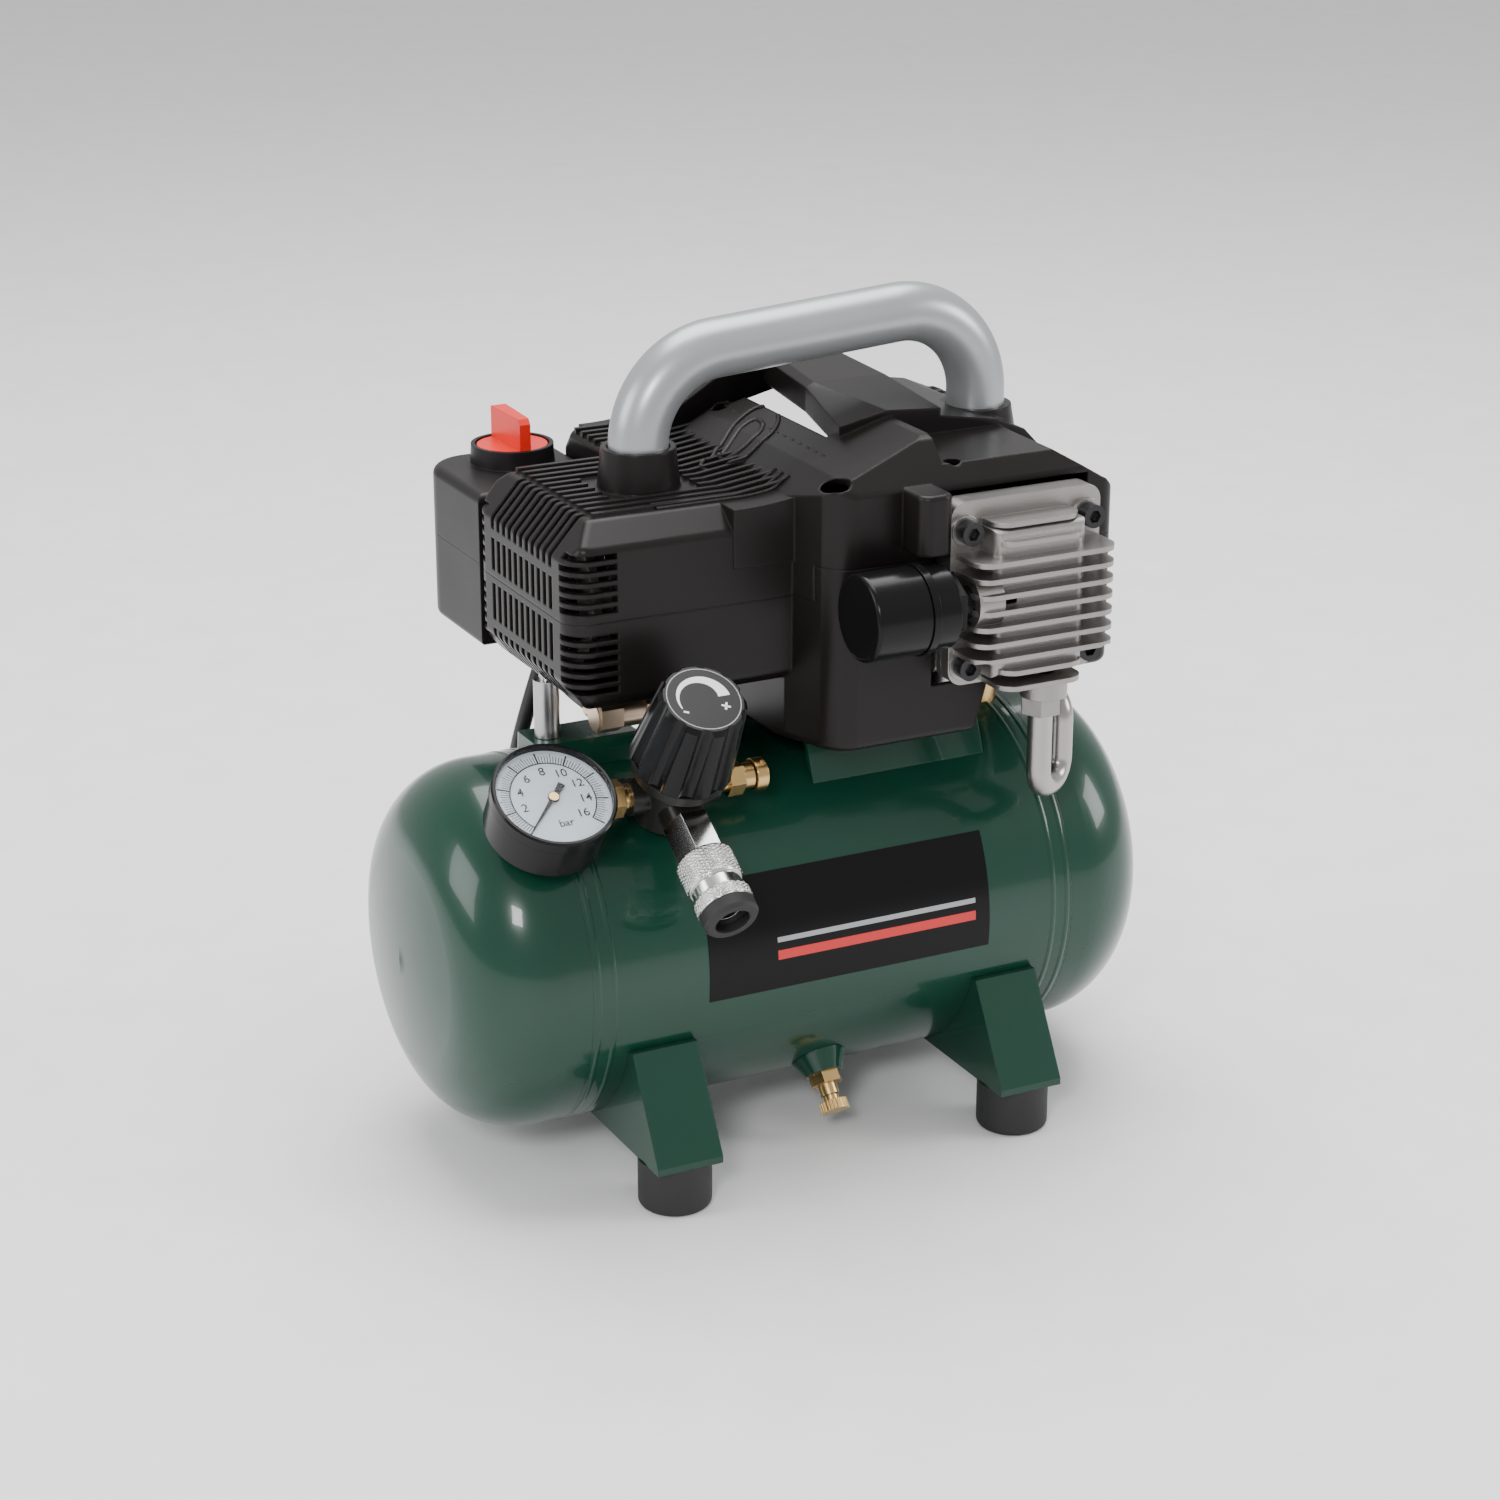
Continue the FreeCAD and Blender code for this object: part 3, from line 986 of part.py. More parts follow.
def make_cord():
    points = [Vec(x, y, z) for x, y, z in CORD_ROUTE]
    tube, radii, route = swept_tube(points, "cord_radius", ratio=0.45)
    node("power_cord", tube)
    section_area = math.pi * size("cord_radius") ** 2
    print("cord length", round(route.Length, 1), "radii", [round(r, 1) for r in radii],
          "volume share", round(tube.Shape.Volume / (section_area * route.Length), 4))
    ahead = (points[1] - points[0]).normalize()
    turn = Turn(Vec(0, 0, 1), ahead)
    relief = fuse(cone(6.6, 4.2, 22), cylinder(7.4, 2.2))
    start = points[0] - ahead * 22
    body = cut(put(relief, tuple(start), turn), block(-90, -40, 50, 90, 209, 230))
    node("strain_relief", body)

    outer, inner = COIL_MEAN + 11, COIL_MEAN - 11
    node("cord_coil", rounded_edges(ring(outer, inner, 14.4, (COIL_X, COIL_Y, 0)), 3,
                                    lambda edge: isinstance(edge.Curve, Part.Circle)))
    neck = cone(4.2, 9, 30)
    grip = cylinder(18, 20, (0, 0, 30))
    flat = block(-14, 14, -20, 20, 20, 60)
    face = cylinder(17.5, 14, (0, 0, 46))
    pins = [cylinder(2.4, 19, (0, y, 58)) for y in (-9.5, 9.5)]
    side_x = COIL_X + 28
    node("plug", fuse(neck, common(fuse(grip, face), flat), *pins),
         (side_x, COIL_LINE, 14.1), ALONG_X)


# ---------------------------------------------------------------- run
make_tank()
make_feet()
make_drain()
make_label()
make_saddle()
make_motor()
make_cylinder_unit()
make_head()
make_filter()
make_cowl()
make_handle()
make_switch()
make_supply()
make_regulator()
make_gauge()
make_coupler()
make_cord()
doc.recompute()

for obj in doc.Objects:
    bad = [flag for flag in obj.State if flag in ("Invalid", "Error")]
    if bad:
        raise SystemExit(f"{obj.Name} {obj.Label}: {bad}")
for label, obj in NODES.items():
    if obj.Shape.isNull() or not obj.Shape.isValid() or obj.Shape.Volume <= 0:
        raise SystemExit(f"{label}: bad shape")
    obj.Shape.exportStep(f"parts/{label}.step")
    print(f"{label:20s} {len(obj.Shape.Solids):2d} solids {obj.Shape.Volume / 1000:8.2f} cm3",
          obj.Shape.optimalBoundingBox(True, False))
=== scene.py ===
import math

import bpy
from mathutils import Matrix, Vector


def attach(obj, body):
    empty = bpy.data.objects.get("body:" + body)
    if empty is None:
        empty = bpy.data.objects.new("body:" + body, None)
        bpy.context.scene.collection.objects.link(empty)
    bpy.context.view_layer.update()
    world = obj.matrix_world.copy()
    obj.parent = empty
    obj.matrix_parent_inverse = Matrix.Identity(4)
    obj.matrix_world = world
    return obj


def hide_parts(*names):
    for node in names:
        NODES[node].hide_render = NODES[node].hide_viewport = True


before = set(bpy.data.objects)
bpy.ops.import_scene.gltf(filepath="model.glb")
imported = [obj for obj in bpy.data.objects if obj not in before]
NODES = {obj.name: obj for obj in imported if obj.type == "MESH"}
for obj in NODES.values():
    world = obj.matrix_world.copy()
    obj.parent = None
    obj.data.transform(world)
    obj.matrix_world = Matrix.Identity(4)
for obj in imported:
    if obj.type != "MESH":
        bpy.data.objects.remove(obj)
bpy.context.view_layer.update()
MM = 0.001

# where the tank's axis and the regulator group sit in the CAD model, in millimetres
AXIS_Y = 1.6
TANK_Z, TANK_RADIUS = 94.3, 80.0
AIR_TILT = math.radians(33)
AIR_X, AIR_Y, AIR_RISE = -69.0, -5.0, 98.0
GAUGE_X = -54.5


def here(x, y, z):
    """A place in millimetres from the tank's axis plane, in metres from the origin."""
    return Vector((x, y + AXIS_Y, z)) * MM


AIR = Matrix.Translation(here(AIR_X, AIR_Y * math.cos(AIR_TILT) - AIR_RISE * math.sin(AIR_TILT),
                              TANK_Z + AIR_Y * math.sin(AIR_TILT) + AIR_RISE * math.cos(AIR_TILT)))
AIR = AIR @ Matrix.Rotation(AIR_TILT, 4, "X")

# ---------------------------------------------------------------- camera
CAMERA_PLACE, CAMERA_AIM = here(-623.96, -1227.92, 669.27), here(-2.9, 0, 161.0)
SENSOR_WIDTH, LENS = 36, 80.5

camera_data = bpy.data.cameras.new("camera")
camera_data.sensor_width = SENSOR_WIDTH
camera_data.lens = LENS
camera = bpy.data.objects.new("camera", camera_data)
bpy.context.scene.collection.objects.link(camera)
camera.location = CAMERA_PLACE
camera.rotation_euler = (CAMERA_AIM - camera.location).to_track_quat("-Z", "Y").to_euler()
bpy.context.scene.camera = camera


# ---------------------------------------------------------------- materials
def new_material(name):
    made = bpy.data.materials.new(name)
    made.use_nodes = True
    tree = made.node_tree
    tree.nodes.clear()
    out = tree.nodes.new("ShaderNodeOutputMaterial")
    shader = tree.nodes.new("ShaderNodeBsdfPrincipled")
    tree.links.new(shader.outputs[0], out.inputs["Surface"])
    return made, tree, shader


def add(tree, kind, settings=None, **sockets):
    made = tree.nodes.new(kind)
    for key, value in (settings or {}).items():
        setattr(made, key, value)
    for key, value in sockets.items():
        made.inputs[key.replace("_", " ")].default_value = value
    return made


def surface(name, color, roughness=0.4, metallic=0.0, spread=0.06, mottle=0.05, grain=0.0,
            grain_size=900.0, coat=0.0, edge=0.5, specular=0.5):
    """A finish with uneven gloss (by spread) and tone (by mottle), a fine grain as bump,
    and edges softened over edge millimetres."""
    made, tree, shader = new_material(name)
    place = add(tree, "ShaderNodeTexCoord")
    broad = add(tree, "ShaderNodeTexNoise", Scale=26.0, Detail=4.0)
    tree.links.new(place.outputs["Object"], broad.inputs["Vector"])
    gloss = add(tree, "ShaderNodeMapRange")
    gloss.inputs["To Min"].default_value = max(roughness - spread, 0.02)
    gloss.inputs["To Max"].default_value = roughness + spread
    tree.links.new(broad.outputs[0], gloss.inputs["Value"])
    tree.links.new(gloss.outputs[0], shader.inputs["Roughness"])
    tone = add(tree, "ShaderNodeMix", {"data_type": "RGBA"})
    tone.inputs["A"].default_value = (*[c * (1 - mottle) for c in color], 1)
    tone.inputs["B"].default_value = (*[min(c * (1 + mottle), 1) for c in color], 1)
    tree.links.new(broad.outputs[0], tone.inputs["Factor"])
    tree.links.new(tone.outputs["Result"], shader.inputs["Base Color"])
    normal = None
    if edge:
        soft = add(tree, "ShaderNodeBevel", {"samples": 4}, Radius=edge * MM)
        normal = soft.outputs[0]
    if grain:
        fine = add(tree, "ShaderNodeTexNoise", Scale=grain_size, Detail=2.0)
        tree.links.new(place.outputs["Object"], fine.inputs["Vector"])
        bump = add(tree, "ShaderNodeBump", Strength=grain, Distance=0.0002)
        tree.links.new(fine.outputs[0], bump.inputs["Height"])
        if normal:
            tree.links.new(normal, bump.inputs["Normal"])
        normal = bump.outputs[0]
    if normal:
        tree.links.new(normal, shader.inputs["Normal"])
    shader.inputs["Metallic"].default_value = metallic
    shader.inputs["Coat Weight"].default_value = coat
    shader.inputs["Coat Roughness"].default_value = 0.05
    shader.inputs["Specular IOR Level"].default_value = specular
    return made


GREEN = surface("green_coat", (0.0034, 0.036, 0.0215), 0.24, spread=0.02, grain=0.04,
                grain_size=220, coat=0.35, edge=0.8, specular=0.25)
COWL = surface("cowl_plastic", (0.0085, 0.0068, 0.0066), 0.33, spread=0.05, grain=0.10,
               grain_size=1400, edge=1.3, specular=0.20)
BOX = surface("box_plastic", (0.0095, 0.008, 0.008), 0.38, grain=0.10, grain_size=1400, edge=0.8,
              specular=0.20)
GLOSS_BLACK = surface("gloss_black", (0.0055, 0.0052, 0.0055), 0.19, spread=0.03, edge=0.5,
                      specular=0.16)
RUBBER = surface("rubber", (0.009, 0.009, 0.0095), 0.62, grain=0.25, grain_size=1100, edge=0.4)
CAST = surface("cast_aluminium", (0.30, 0.285, 0.275), 0.36, metallic=0.95, spread=0.08,
               mottle=0.10, grain=0.5, grain_size=900, edge=0.5)
HANDLE = surface("handle_paint", (0.36, 0.375, 0.385), 0.33, metallic=0.55, spread=0.03,
                 grain=0.06, grain_size=1500, edge=0)
BRASS = surface("brass", (0.60, 0.40, 0.17), 0.28, metallic=1.0, spread=0.07, mottle=0.12,
                edge=0.3)
PALE_BRASS = surface("pale_brass", (0.76, 0.60, 0.45), 0.33, metallic=1.0, spread=0.08,
                     mottle=0.10, edge=0.3)
STEEL = surface("steel", (0.48, 0.48, 0.49), 0.32, metallic=1.0, spread=0.08, edge=0.3)
DARK_STEEL = surface("black_steel", (0.020, 0.020, 0.022), 0.30, metallic=0.5, edge=0.3)
CHROME = surface("nickel", (0.66, 0.65, 0.64), 0.18, metallic=1.0, spread=0.05, edge=0.3)
PIPE = surface("drawn_tube", (0.36, 0.345, 0.33), 0.30, metallic=1.0, spread=0.06, edge=0)
RED = surface("red_plastic", (0.72, 0.018, 0.010), 0.34, spread=0.04, edge=0.5, specular=0.3)
REGULATOR = surface("regulator_plastic", (0.012, 0.011, 0.0105), 0.30, edge=0.6, specular=0.3)
DIAL = surface("dial_paper", (0.62, 0.70, 0.76), 0.5, edge=0, mottle=0.01)
PRINT_BLACK = surface("print_black", (0.012, 0.012, 0.014), 0.5, edge=0)
PRINT_RED = surface("print_red", (0.55, 0.02, 0.02), 0.5, edge=0)
PRINT_WHITE = surface("print_white", (0.80, 0.80, 0.80), 0.45, edge=0)
PRINT_GREY = surface("print_grey", (0.30, 0.31, 0.32), 0.35, edge=0)
FILM = surface("label_film", (0.004, 0.004, 0.0045), 0.22, spread=0.02, edge=0, specular=0.15)
SEAL = surface("seal", (0.6, 0.58, 0.52), 0.45, edge=0.2)
CORD = surface("cord_rubber", (0.012, 0.012, 0.013), 0.45, grain=0.1, edge=0)


def make_glass():
    made, _, shader = new_material("lens_window")
    shader.inputs["Base Color"].default_value = (0.06, 0.065, 0.07, 1)
    shader.inputs["Roughness"].default_value = 0.03
    shader.inputs["Alpha"].default_value = 0.07
    shader.inputs["IOR"].default_value = 1.45
    return made


GLASS = make_glass()

FINISH = {
    GREEN: ["tank_shell", "tank_dome_left", "tank_dome_right", "foot_brackets", "drain_boss",
            "saddle_plates"],
    COWL: ["cowl_upper", "cowl_lower"],
    BOX: ["switch_box_upper", "switch_box_lower"],
    GLOSS_BLACK: ["filter_cap", "filter_housing", "gauge_case", "pressure_switch",
                  "cooling_fan", "regulator_knob"],
    REGULATOR: ["regulator_body", "regulator_ring"],
    RUBBER: ["rubber_feet", "coupler_bumper", "supply_pipe"],
    CAST: ["cylinder_head", "crankcase", "valve_plate", "cylinder_liner", "connecting_rod",
           "piston", "motor_end_shield", "discharge_nut"],
    HANDLE: ["carry_handle"],
    PALE_BRASS: ["supply_fitting"],
    BRASS: ["drain_body", "drain_screw", "gauge_fitting", "safety_valve_body",
            "safety_valve_pull", "check_valve"],
    STEEL: ["foot_bolts", "vibration_mounts", "motor_stator", "motor_rotor", "motor_shaft",
            "motor_bearings", "crank_disc", "run_capacitor", "reed_valves"],
    DARK_STEEL: ["head_bolts"],
    CHROME: ["coupler_body", "coupler_sleeve"],
    PIPE: ["discharge_pipe"],
    RED: ["switch_knob"],
    DIAL: ["gauge_dial"],
    PRINT_BLACK: ["gauge_needle"],
    GLASS: ["gauge_lens"],
    FILM: ["tank_label"],
    SEAL: ["piston_seal"],
    CORD: ["power_cord", "strain_relief", "cord_coil", "plug"],
}
for finish, names in FINISH.items():
    for name in names:
        mesh = NODES[name].data
        mesh.materials.clear()
        mesh.materials.append(finish)


# ---------------------------------------------------------------- helpers
def link(obj):
    bpy.context.scene.collection.objects.link(obj)
    return obj


def mesh_object(name, points, faces, finish, smooth=False):
    mesh = bpy.data.meshes.new(name)
    mesh.from_pydata([tuple(p) for p in points], [], faces)
    mesh.materials.append(finish)
    if smooth:
        mesh.shade_smooth()
    mesh.update()
    return link(bpy.data.objects.new(name, mesh))


def ribbon(rows, closed=False):
    """Points and faces of a grid given as rows of equal length."""
    across = len(rows[0])
    points = [p for row in rows for p in row]
    faces = []
    last = len(rows) if closed else len(rows) - 1
    for i in range(last):
        following = (i + 1) % len(rows)
        for j in range(across - 1):
            faces.append((i * across + j, following * across + j,
                          following * across + j + 1, i * across + j + 1))
    return points, faces


# ---------------------------------------------------------------- mains lead
ROUTE = [(-72, 70, 188), (-83.5, 70, 156), (-77, 92, 127), (-62, 118, 97), (-48, 134, 60),
         (-28, 142, 22), (12, 139.5, 3.8), (53, 139, 3.8)]
CORD_RADIUS = 3.5
COIL_X, COIL_Y, COIL_MEAN = 80, 178, 39
# the coil: turns, points in a turn, turns taken to cross a layer, and when it climbs
COIL_TURNS, TURN_POINTS, COIL_LANES = 6, 16, 2.6
CLIMB_START, CLIMB_TURNS, CLIMB_END = 2.7, 0.5, 3.3
LAYER_REACH, FLOOR_HEIGHT, LAYER_RISE = 7.2, 3.7, 7.1


def coil_points():
    """Six turns, three across and two high, wound from the inside of the floor layer."""
    points = []
    for step in range(COIL_TURNS * TURN_POINTS + 1):
        turn = step / TURN_POINTS
        angle = -math.pi / 2 + 2 * math.pi * turn
        if turn < CLIMB_END:
            outward = min(turn, COIL_LANES)
        else:
            outward = max(COIL_LANES - (turn - CLIMB_END), 0)
        radius = COIL_MEAN + LAYER_REACH * (2 * outward / COIL_LANES - 1)
        rise = min(max((turn - CLIMB_START) / CLIMB_TURNS, 0), 1)
        points.append((COIL_X + radius * math.cos(angle), COIL_Y + radius * math.sin(angle),
                       FLOOR_HEIGHT + LAYER_RISE * rise))
    return points


def make_cord():
    points = [here(*p) for p in ROUTE[:-1] + coil_points()]
    curve = bpy.data.curves.new("mains_lead", "CURVE")
    curve.dimensions = "3D"
    spline = curve.splines.new("NURBS")
    spline.points.add(len(points) - 1)
    for knot, point in zip(spline.points, points):
        knot.co = (*point, 1)
    spline.order_u = 3
    spline.use_endpoint_u = True
    curve.resolution_u = 8
    curve.bevel_depth = CORD_RADIUS * MM
    curve.bevel_resolution = 6
    curve.use_fill_caps = True
    curve.materials.append(CORD)
    lead = link(bpy.data.objects.new("mains_lead", curve))
    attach(lead, "housing")
    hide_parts("power_cord", "cord_coil")


make_cord()


# ---------------------------------------------------------------- printed and moulded details
def flat_band(name, inner, outer, z, start, sweep, finish, count=72):
    """A flat arc whose radii may change along it; inner and outer are (first, last)."""
    points = []
    for i in range(count + 1):
        share = i / count
        angle = start + sweep * share
        for ends in (inner, outer):
            radius = ends[0] + (ends[1] - ends[0]) * share
            points.append((radius * math.cos(angle), radius * math.sin(angle), z))
    faces = [(2 * i, 2 * i + 1, 2 * i + 3, 2 * i + 2) for i in range(count)]
    return mesh_object(name, points, faces, finish)


def bars(name, places, z, finish):
    """Flat strokes: each place is (angle, inner radius, outer radius, width)."""
    points, faces = [], []
    for angle, inner, outer, width in places:
        along = Vector((math.cos(angle), math.sin(angle)))
        side = Vector((-along.y, along.x)) * width / 2
        base = len(points)
        for radius, sign in ((inner, -1), (outer, -1), (outer, 1), (inner, 1)):
            spot = along * radius + side * sign
            points.append((spot.x, spot.y, z))
        faces.append((base, base + 1, base + 2, base + 3))
    return mesh_object(name, points, faces, finish)


def lettering(name, text, size, x, y, z, finish):
    """Flat text, centred on (x, y); the outline is thickened with its size."""
    curve = bpy.data.curves.new(name, "FONT")
    curve.body = text
    curve.size = size
    curve.align_x = "CENTER"
    curve.align_y = "CENTER"
    curve.offset = 0.06 * size / 5
    obj = link(bpy.data.objects.new(name, curve))
    bpy.context.view_layer.update()
    mesh = bpy.data.meshes.new_from_object(obj)
    bpy.data.objects.remove(obj)
    mesh.materials.clear()
    mesh.materials.append(finish)
    made = link(bpy.data.objects.new(name, mesh))
    made.location = (x, y, z)
    return made


def hand_over(pieces, body):
    """Joins the pieces into the first of them, which rides the body."""
    base = pieces[0]
    with bpy.context.temp_override(active_object=base, selected_editable_objects=pieces,
                                   selected_objects=pieces, object=base):
        bpy.ops.object.join()
    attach(base, body)


def settle(pieces, place, body):
    """Puts pieces drawn in millimetres at place, joins them and hands them to a body."""
    bpy.context.view_layer.update()
    for piece in pieces:
        piece.data.transform(place @ Matrix.Scale(MM, 4) @ piece.matrix_world)
        piece.matrix_world = Matrix.Identity(4)
    hand_over(pieces, body)


GAUGE = AIR @ Matrix.Translation(Vector((GAUGE_X, 0, 0)) * MM)
DIAL_START, DIAL_SWEEP = math.radians(225), math.radians(-270)
DIAL_TOP, NEEDLE_CAP_TOP = 8.45, 9.74
# a stroke of the scale: inner radius, outer radius, width
LONG_STROKE, MIDDLE_STROKE, SHORT_STROKE = ((17.6, 23.2, 0.75), (18.2, 22.6, 0.34),
                                            (18.2, 21.6, 0.34))
DIAL_STROKES, DIAL_RANGE, NUMBER_RADIUS = 80, 16, 13.6


def make_dial():
    ticks = []
    for i in range(DIAL_STROKES + 1):
        stroke = SHORT_STROKE if i % 5 else MIDDLE_STROKE if i % 10 else LONG_STROKE
        ticks.append((DIAL_START + DIAL_SWEEP * i / DIAL_STROKES, *stroke))
    pieces = [bars("dial_print", ticks, DIAL_TOP, PRINT_BLACK),
              flat_band("dial_circle", (17.6, 17.6), (18.2, 18.2), DIAL_TOP, DIAL_START,
                        DIAL_SWEEP, PRINT_BLACK)]
    for number in range(2, DIAL_RANGE + 1, 2):
        angle = DIAL_START + DIAL_SWEEP * number / DIAL_RANGE
        pieces.append(lettering("number", str(number), 5.6, NUMBER_RADIUS * math.cos(angle),
                                NUMBER_RADIUS * math.sin(angle), DIAL_TOP, PRINT_BLACK))
    pieces.append(lettering("unit", "bar", 5.0, 1, -13.0, DIAL_TOP, PRINT_BLACK))
    settle(pieces, GAUGE, "housing")
    cap = flat_band("needle_cap", (0.01, 0.01), (2.1, 2.1), NEEDLE_CAP_TOP, 0, 2 * math.pi,
                    BRASS, 32)
    settle([cap], GAUGE, "needle")


KNOB_TOP, MARK_WIDTH, MARK_LEAN = 59.24, 0.9, math.radians(-26)
# the plus and minus marks: place in degrees, radius, half length, turn of each stroke
KNOB_MARKS = [(-34, 9.4, 1.9, (0.0, math.pi / 2)), (207, 11.0, 1.1, (0.0,))]


def make_knob_print():
    scale = flat_band("knob_print", (10.9, 6.4), (11.4, 11.6), KNOB_TOP, math.radians(196),
                      math.radians(-196), PRINT_WHITE)
    marks = []
    for degrees, radius, reach, turns in KNOB_MARKS:
        angle = math.radians(degrees)
        for turn in turns:
            mark = bars("mark", [(turn + MARK_LEAN, -reach, reach, MARK_WIDTH)], KNOB_TOP,
                        PRINT_WHITE)
            mark.location = (radius * math.cos(angle), radius * math.sin(angle), 0)
            marks.append(mark)
    rim = flat_band("rim", (15.2, 15.2), (15.6, 15.6), KNOB_TOP + 0.02, 0, 2 * math.pi,
                    PRINT_GREY)
    settle([scale, *marks, rim], AIR, "pressure_knob")


# the knurl: points and diamonds around, length of a diamond, depth, and length of a step
KNURL_POINTS, KNURL_DIAMONDS, KNURL_PITCH, KNURL_DEPTH, KNURL_STEP = 192, 24, 1.5, 0.42, 0.24
# clear of the metal below, how flat the diamonds are, steps over which the ends fade
KNURL_LIFT, KNURL_FLATNESS, KNURL_FADE = 0.02, 1.4, 3
GRIP_RADIUS = 11.8


def knurl(name, y0, y1, body):
    """A thin knurled shell about the coupler's axis, which runs along local -Y."""
    along = round(abs(y1 - y0) / KNURL_STEP)
    rows = []
    for i in range(KNURL_POINTS):
        angle = 2 * math.pi * i / KNURL_POINTS
        row = []
        for j in range(along + 1):
            y = y0 + (y1 - y0) * j / along
            across, down = KNURL_DIAMONDS * angle / 2, y * math.pi / KNURL_PITCH
            diamond = min(abs(math.sin(across + down)), abs(math.sin(across - down)))
            end = min(j, along - j, KNURL_FADE) / KNURL_FADE
            out = (GRIP_RADIUS + KNURL_LIFT
                   + KNURL_DEPTH * min(diamond * KNURL_FLATNESS, 1) * end)
            row.append(Vector((out * math.cos(angle), y, out * math.sin(angle))))
        rows.append(row)
    points, faces = ribbon(rows, closed=True)
    shell = mesh_object(name, points, faces, CHROME)
    settle([shell], AIR, body)


ABOVE_COWL, ROOF_Z = 360, 287.5


def on_roof(x, y, lift):
    """The point on the cowl's top straight above (x, y), raised by lift, in metres."""
    cowl = NODES["cowl_upper"]
    start = cowl.matrix_world.inverted() @ here(x, y, ABOVE_COWL)
    down = cowl.matrix_world.inverted().to_3x3() @ Vector((0, 0, -1))
    found, spot, _, _ = cowl.ray_cast(start, down)
    base = cowl.matrix_world @ spot if found else here(x, y, ROOF_Z)
    return base + Vector((0, 0, lift * MM))


def denser(path, steps, closed):
    """Catmull-Rom points along a flat path."""
    count = len(path)

    def at(i):
        return Vector(path[i % count if closed else min(max(i, 0), count - 1)])

    made = []
    for i in range(count if closed else count - 1):
        a, b, c, d = (at(i + k) for k in (-1, 0, 1, 2))
        for j in range(steps):
            t = j / steps
            made.append(0.5 * (2 * b + (c - a) * t + (2 * a - 5 * b + 4 * c - d) * t * t
                               + (3 * b - a - 3 * c + d) * t ** 3))
    if not closed:
        made.append(Vector(path[-1]))
    return made


def ridge(name, path, radius, closed=False):
    """A ridge moulded on the cowl: a round bead half sunk along a smooth path."""
    curve = bpy.data.curves.new(name, "CURVE")
    curve.dimensions = "3D"
    spline = curve.splines.new("NURBS")
    spline.points.add(len(path) - 1)
    for knot, point in zip(spline.points, path):
        knot.co = (*point, 1)
    spline.order_u = 3
    spline.use_endpoint_u = not closed
    spline.use_cyclic_u = closed
    curve.resolution_u = 8
    curve.bevel_depth = radius * MM
    curve.bevel_resolution = 3
    curve.materials.append(COWL)
    obj = link(bpy.data.objects.new(name, curve))
    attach(obj, "housing")


TEARDROP = [(-22, 10), (-8, 22), (8, 35), (20, 41), (25, 36), (22, 22), (12, 9), (-4, 2),
            (-16, 3)]
TEARDROP_HEART = (0.55, 0.5)
PATH_STEPS = 5


def make_cowl_details():
    def over(points, lift=0.1, closed=False):
        return [on_roof(p.x, p.y, lift) for p in denser(points, PATH_STEPS, closed)]

    ridge("teardrop_rim", over(TEARDROP, closed=True), 1.1, closed=True)
    centre = (sum(p[0] for p in TEARDROP) / len(TEARDROP),
              sum(p[1] for p in TEARDROP) / len(TEARDROP))
    inner = [(centre[0] + (x - centre[0]) * TEARDROP_HEART[0],
              centre[1] + (y - centre[1]) * TEARDROP_HEART[1]) for x, y in TEARDROP]
    ridge("teardrop_heart", over(inner, -0.3, True), 1.3, closed=True)
    for y in (-24, -30, -36):
        ridge("roof_line", over([(-64, y), (-46, y), (-30, y), (-14, y), (-2, y + 2)]), 1.0)


# the seam rings: distances from the tank's middle, and a ring's section as (along, out)
SEAM_PLACES, SEAM_POINTS = (105.5, 112.5), 96
SEAM_SECTION = ((-1.6, -0.1), (-0.8, 0.22), (0, 0.34), (0.8, 0.22), (1.6, -0.1))


def make_tank_beads():
    for side in (-1, 1):
        for x in SEAM_PLACES:
            rows = []
            for i in range(SEAM_POINTS + 1):
                angle = 2 * math.pi * i / SEAM_POINTS
                rows.append([here(side * (x + dx), (TANK_RADIUS + dr) * math.sin(angle),
                                  TANK_Z + (TANK_RADIUS + dr) * math.cos(angle))
                             for dx, dr in SEAM_SECTION])
            points, faces = ribbon(rows)
            bead = mesh_object("seam_bead", points, faces, GREEN, smooth=True)
            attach(bead, "housing")


STRIPE_LEFT, STRIPE_RIGHT, STRIPE_LIFT, STRIPE_STEPS = -30, 66, 0.32, 24


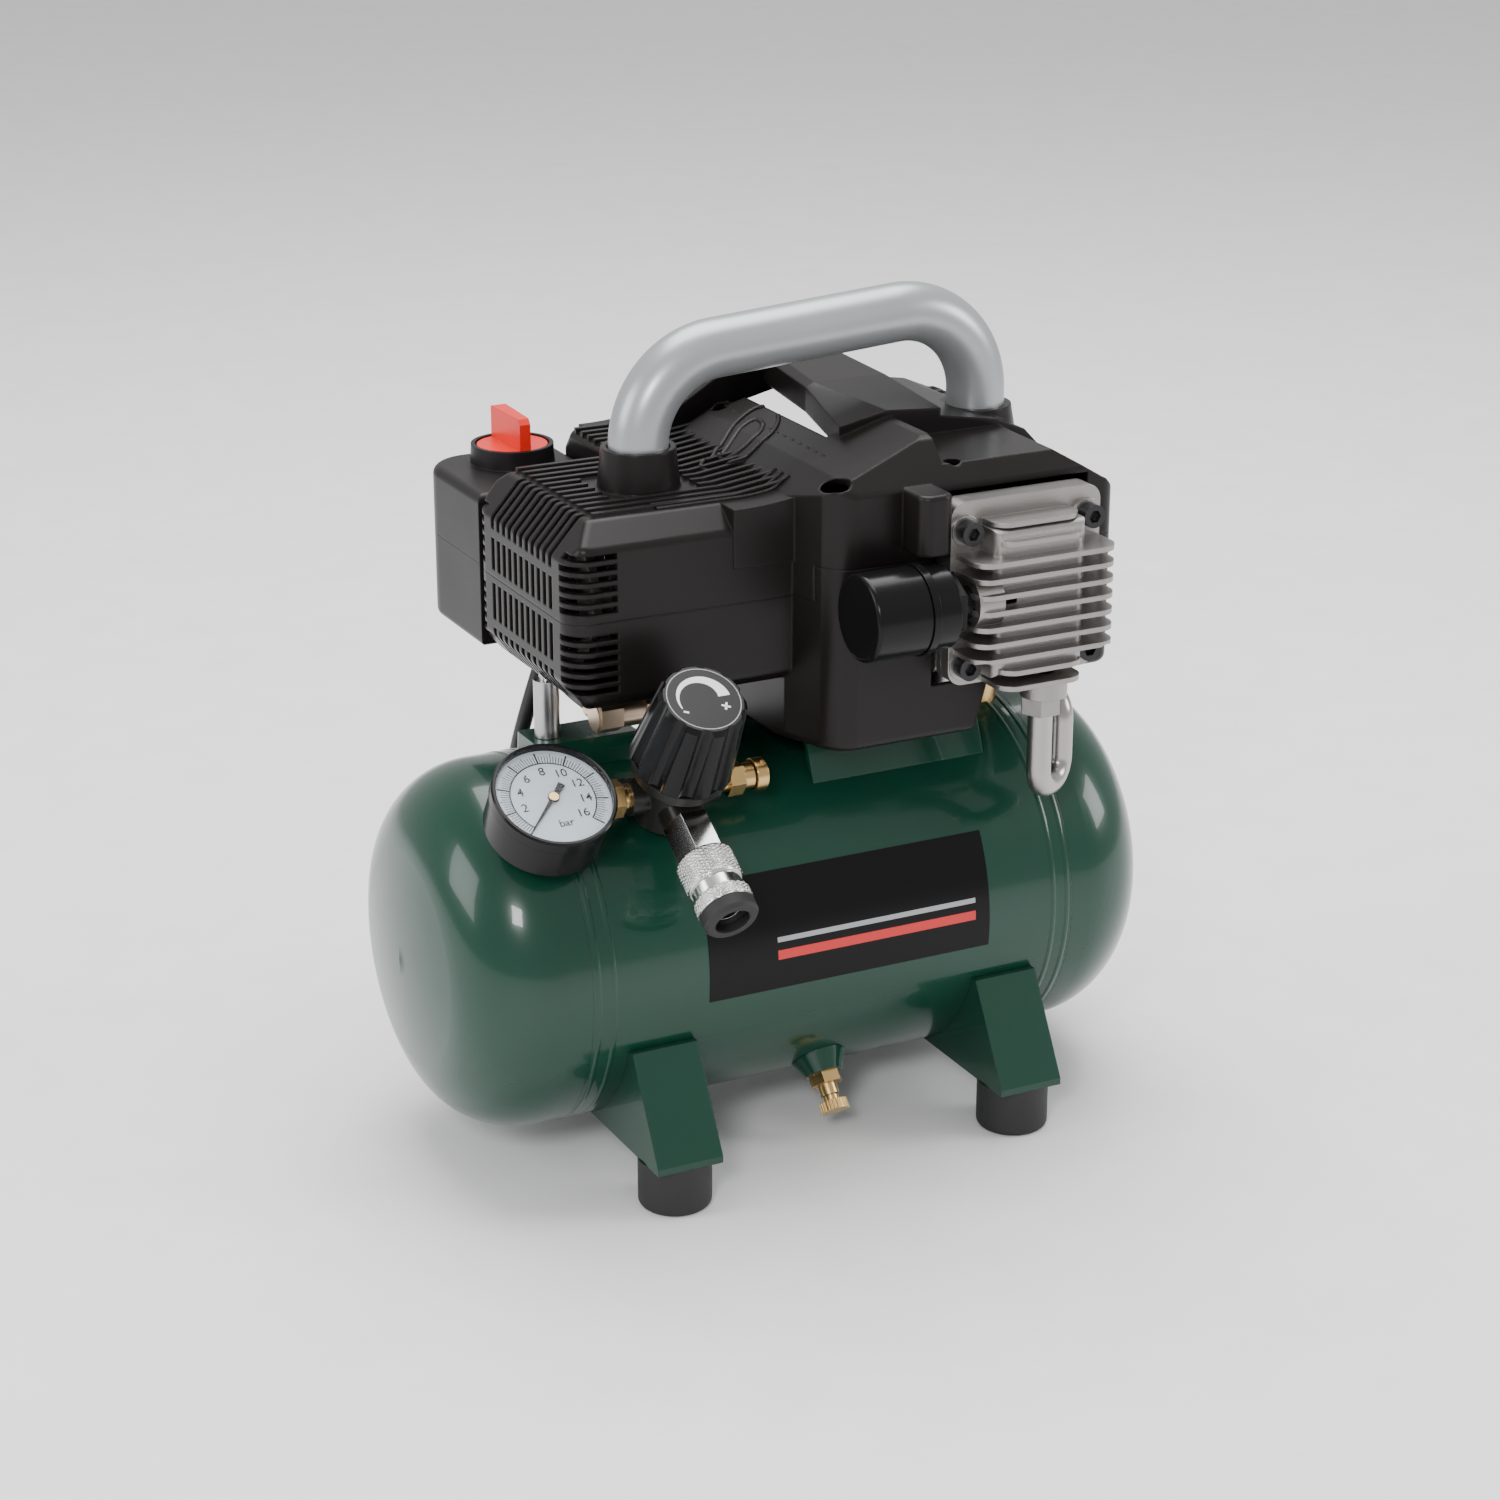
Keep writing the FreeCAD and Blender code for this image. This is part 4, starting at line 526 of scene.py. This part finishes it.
def label_patch(name, low, high, finish):
    """A curved stripe on the printed film; low and high are degrees round the tank from
    straight down towards the front."""
    radius = TANK_RADIUS + STRIPE_LIFT
    rows = []
    for i in range(STRIPE_STEPS + 1):
        angle = math.radians(low + (high - low) * i / STRIPE_STEPS)
        rows.append([here(x, -radius * math.sin(angle), TANK_Z - radius * math.cos(angle))
                     for x in (STRIPE_LEFT, STRIPE_RIGHT)])
    points, faces = ribbon(rows)
    return mesh_object(name, points, faces, finish)


def make_label():
    """Two plain stripes."""
    hand_over([label_patch("label_stripe", 98, 99.6, PRINT_GREY),
               label_patch("label_band", 92.5, 95.5, PRINT_RED)], "housing")


make_dial()
make_knob_print()
knurl("coupler_grip", -37.6, -50.4, "housing")
knurl("collar_grip", -56.6, -61.9, "coupler_collar")
make_cowl_details()
make_tank_beads()
make_label()


# ---------------------------------------------------------------- stage and light
FLOOR_REACH, WORLD_STRENGTH = 6, 0.75
LAMP_TARGET = Vector((0, 0, 0.18))
# each lamp: name, place in metres, size of its square in metres, power in watts
LAMPS = [("key", (-1.0, -1.3, 1.1), 0.35, 14), ("top", (0.2, 0.5, 2.0), 1.6, 60),
         ("side", (1.6, -0.9, 0.9), 0.7, 16), ("left", (-1.8, 0.3, 0.9), 0.9, 14)]


def make_stage():
    corners = [(x * FLOOR_REACH, y * FLOOR_REACH, 0)
               for x, y in ((-1, -1), (1, -1), (1, 1), (-1, 1))]
    floor = mesh_object("floor", corners,
                        [(0, 1, 2, 3)], surface("floor_paint", (0.86, 0.86, 0.86), 0.6, edge=0))
    world = bpy.data.worlds.new("studio")
    bpy.context.scene.world = world
    world.use_nodes = True
    background = world.node_tree.nodes["Background"]
    background.inputs["Color"].default_value = (1, 1, 1, 1)
    background.inputs["Strength"].default_value = WORLD_STRENGTH
    for name, place, size, power in LAMPS:
        lamp = bpy.data.lights.new(name, "AREA")
        lamp.size = size
        lamp.energy = power
        holder = link(bpy.data.objects.new(name, lamp))
        holder.location = place
        holder.rotation_euler = (LAMP_TARGET - holder.location).to_track_quat(
            "-Z", "Y").to_euler()


make_stage()
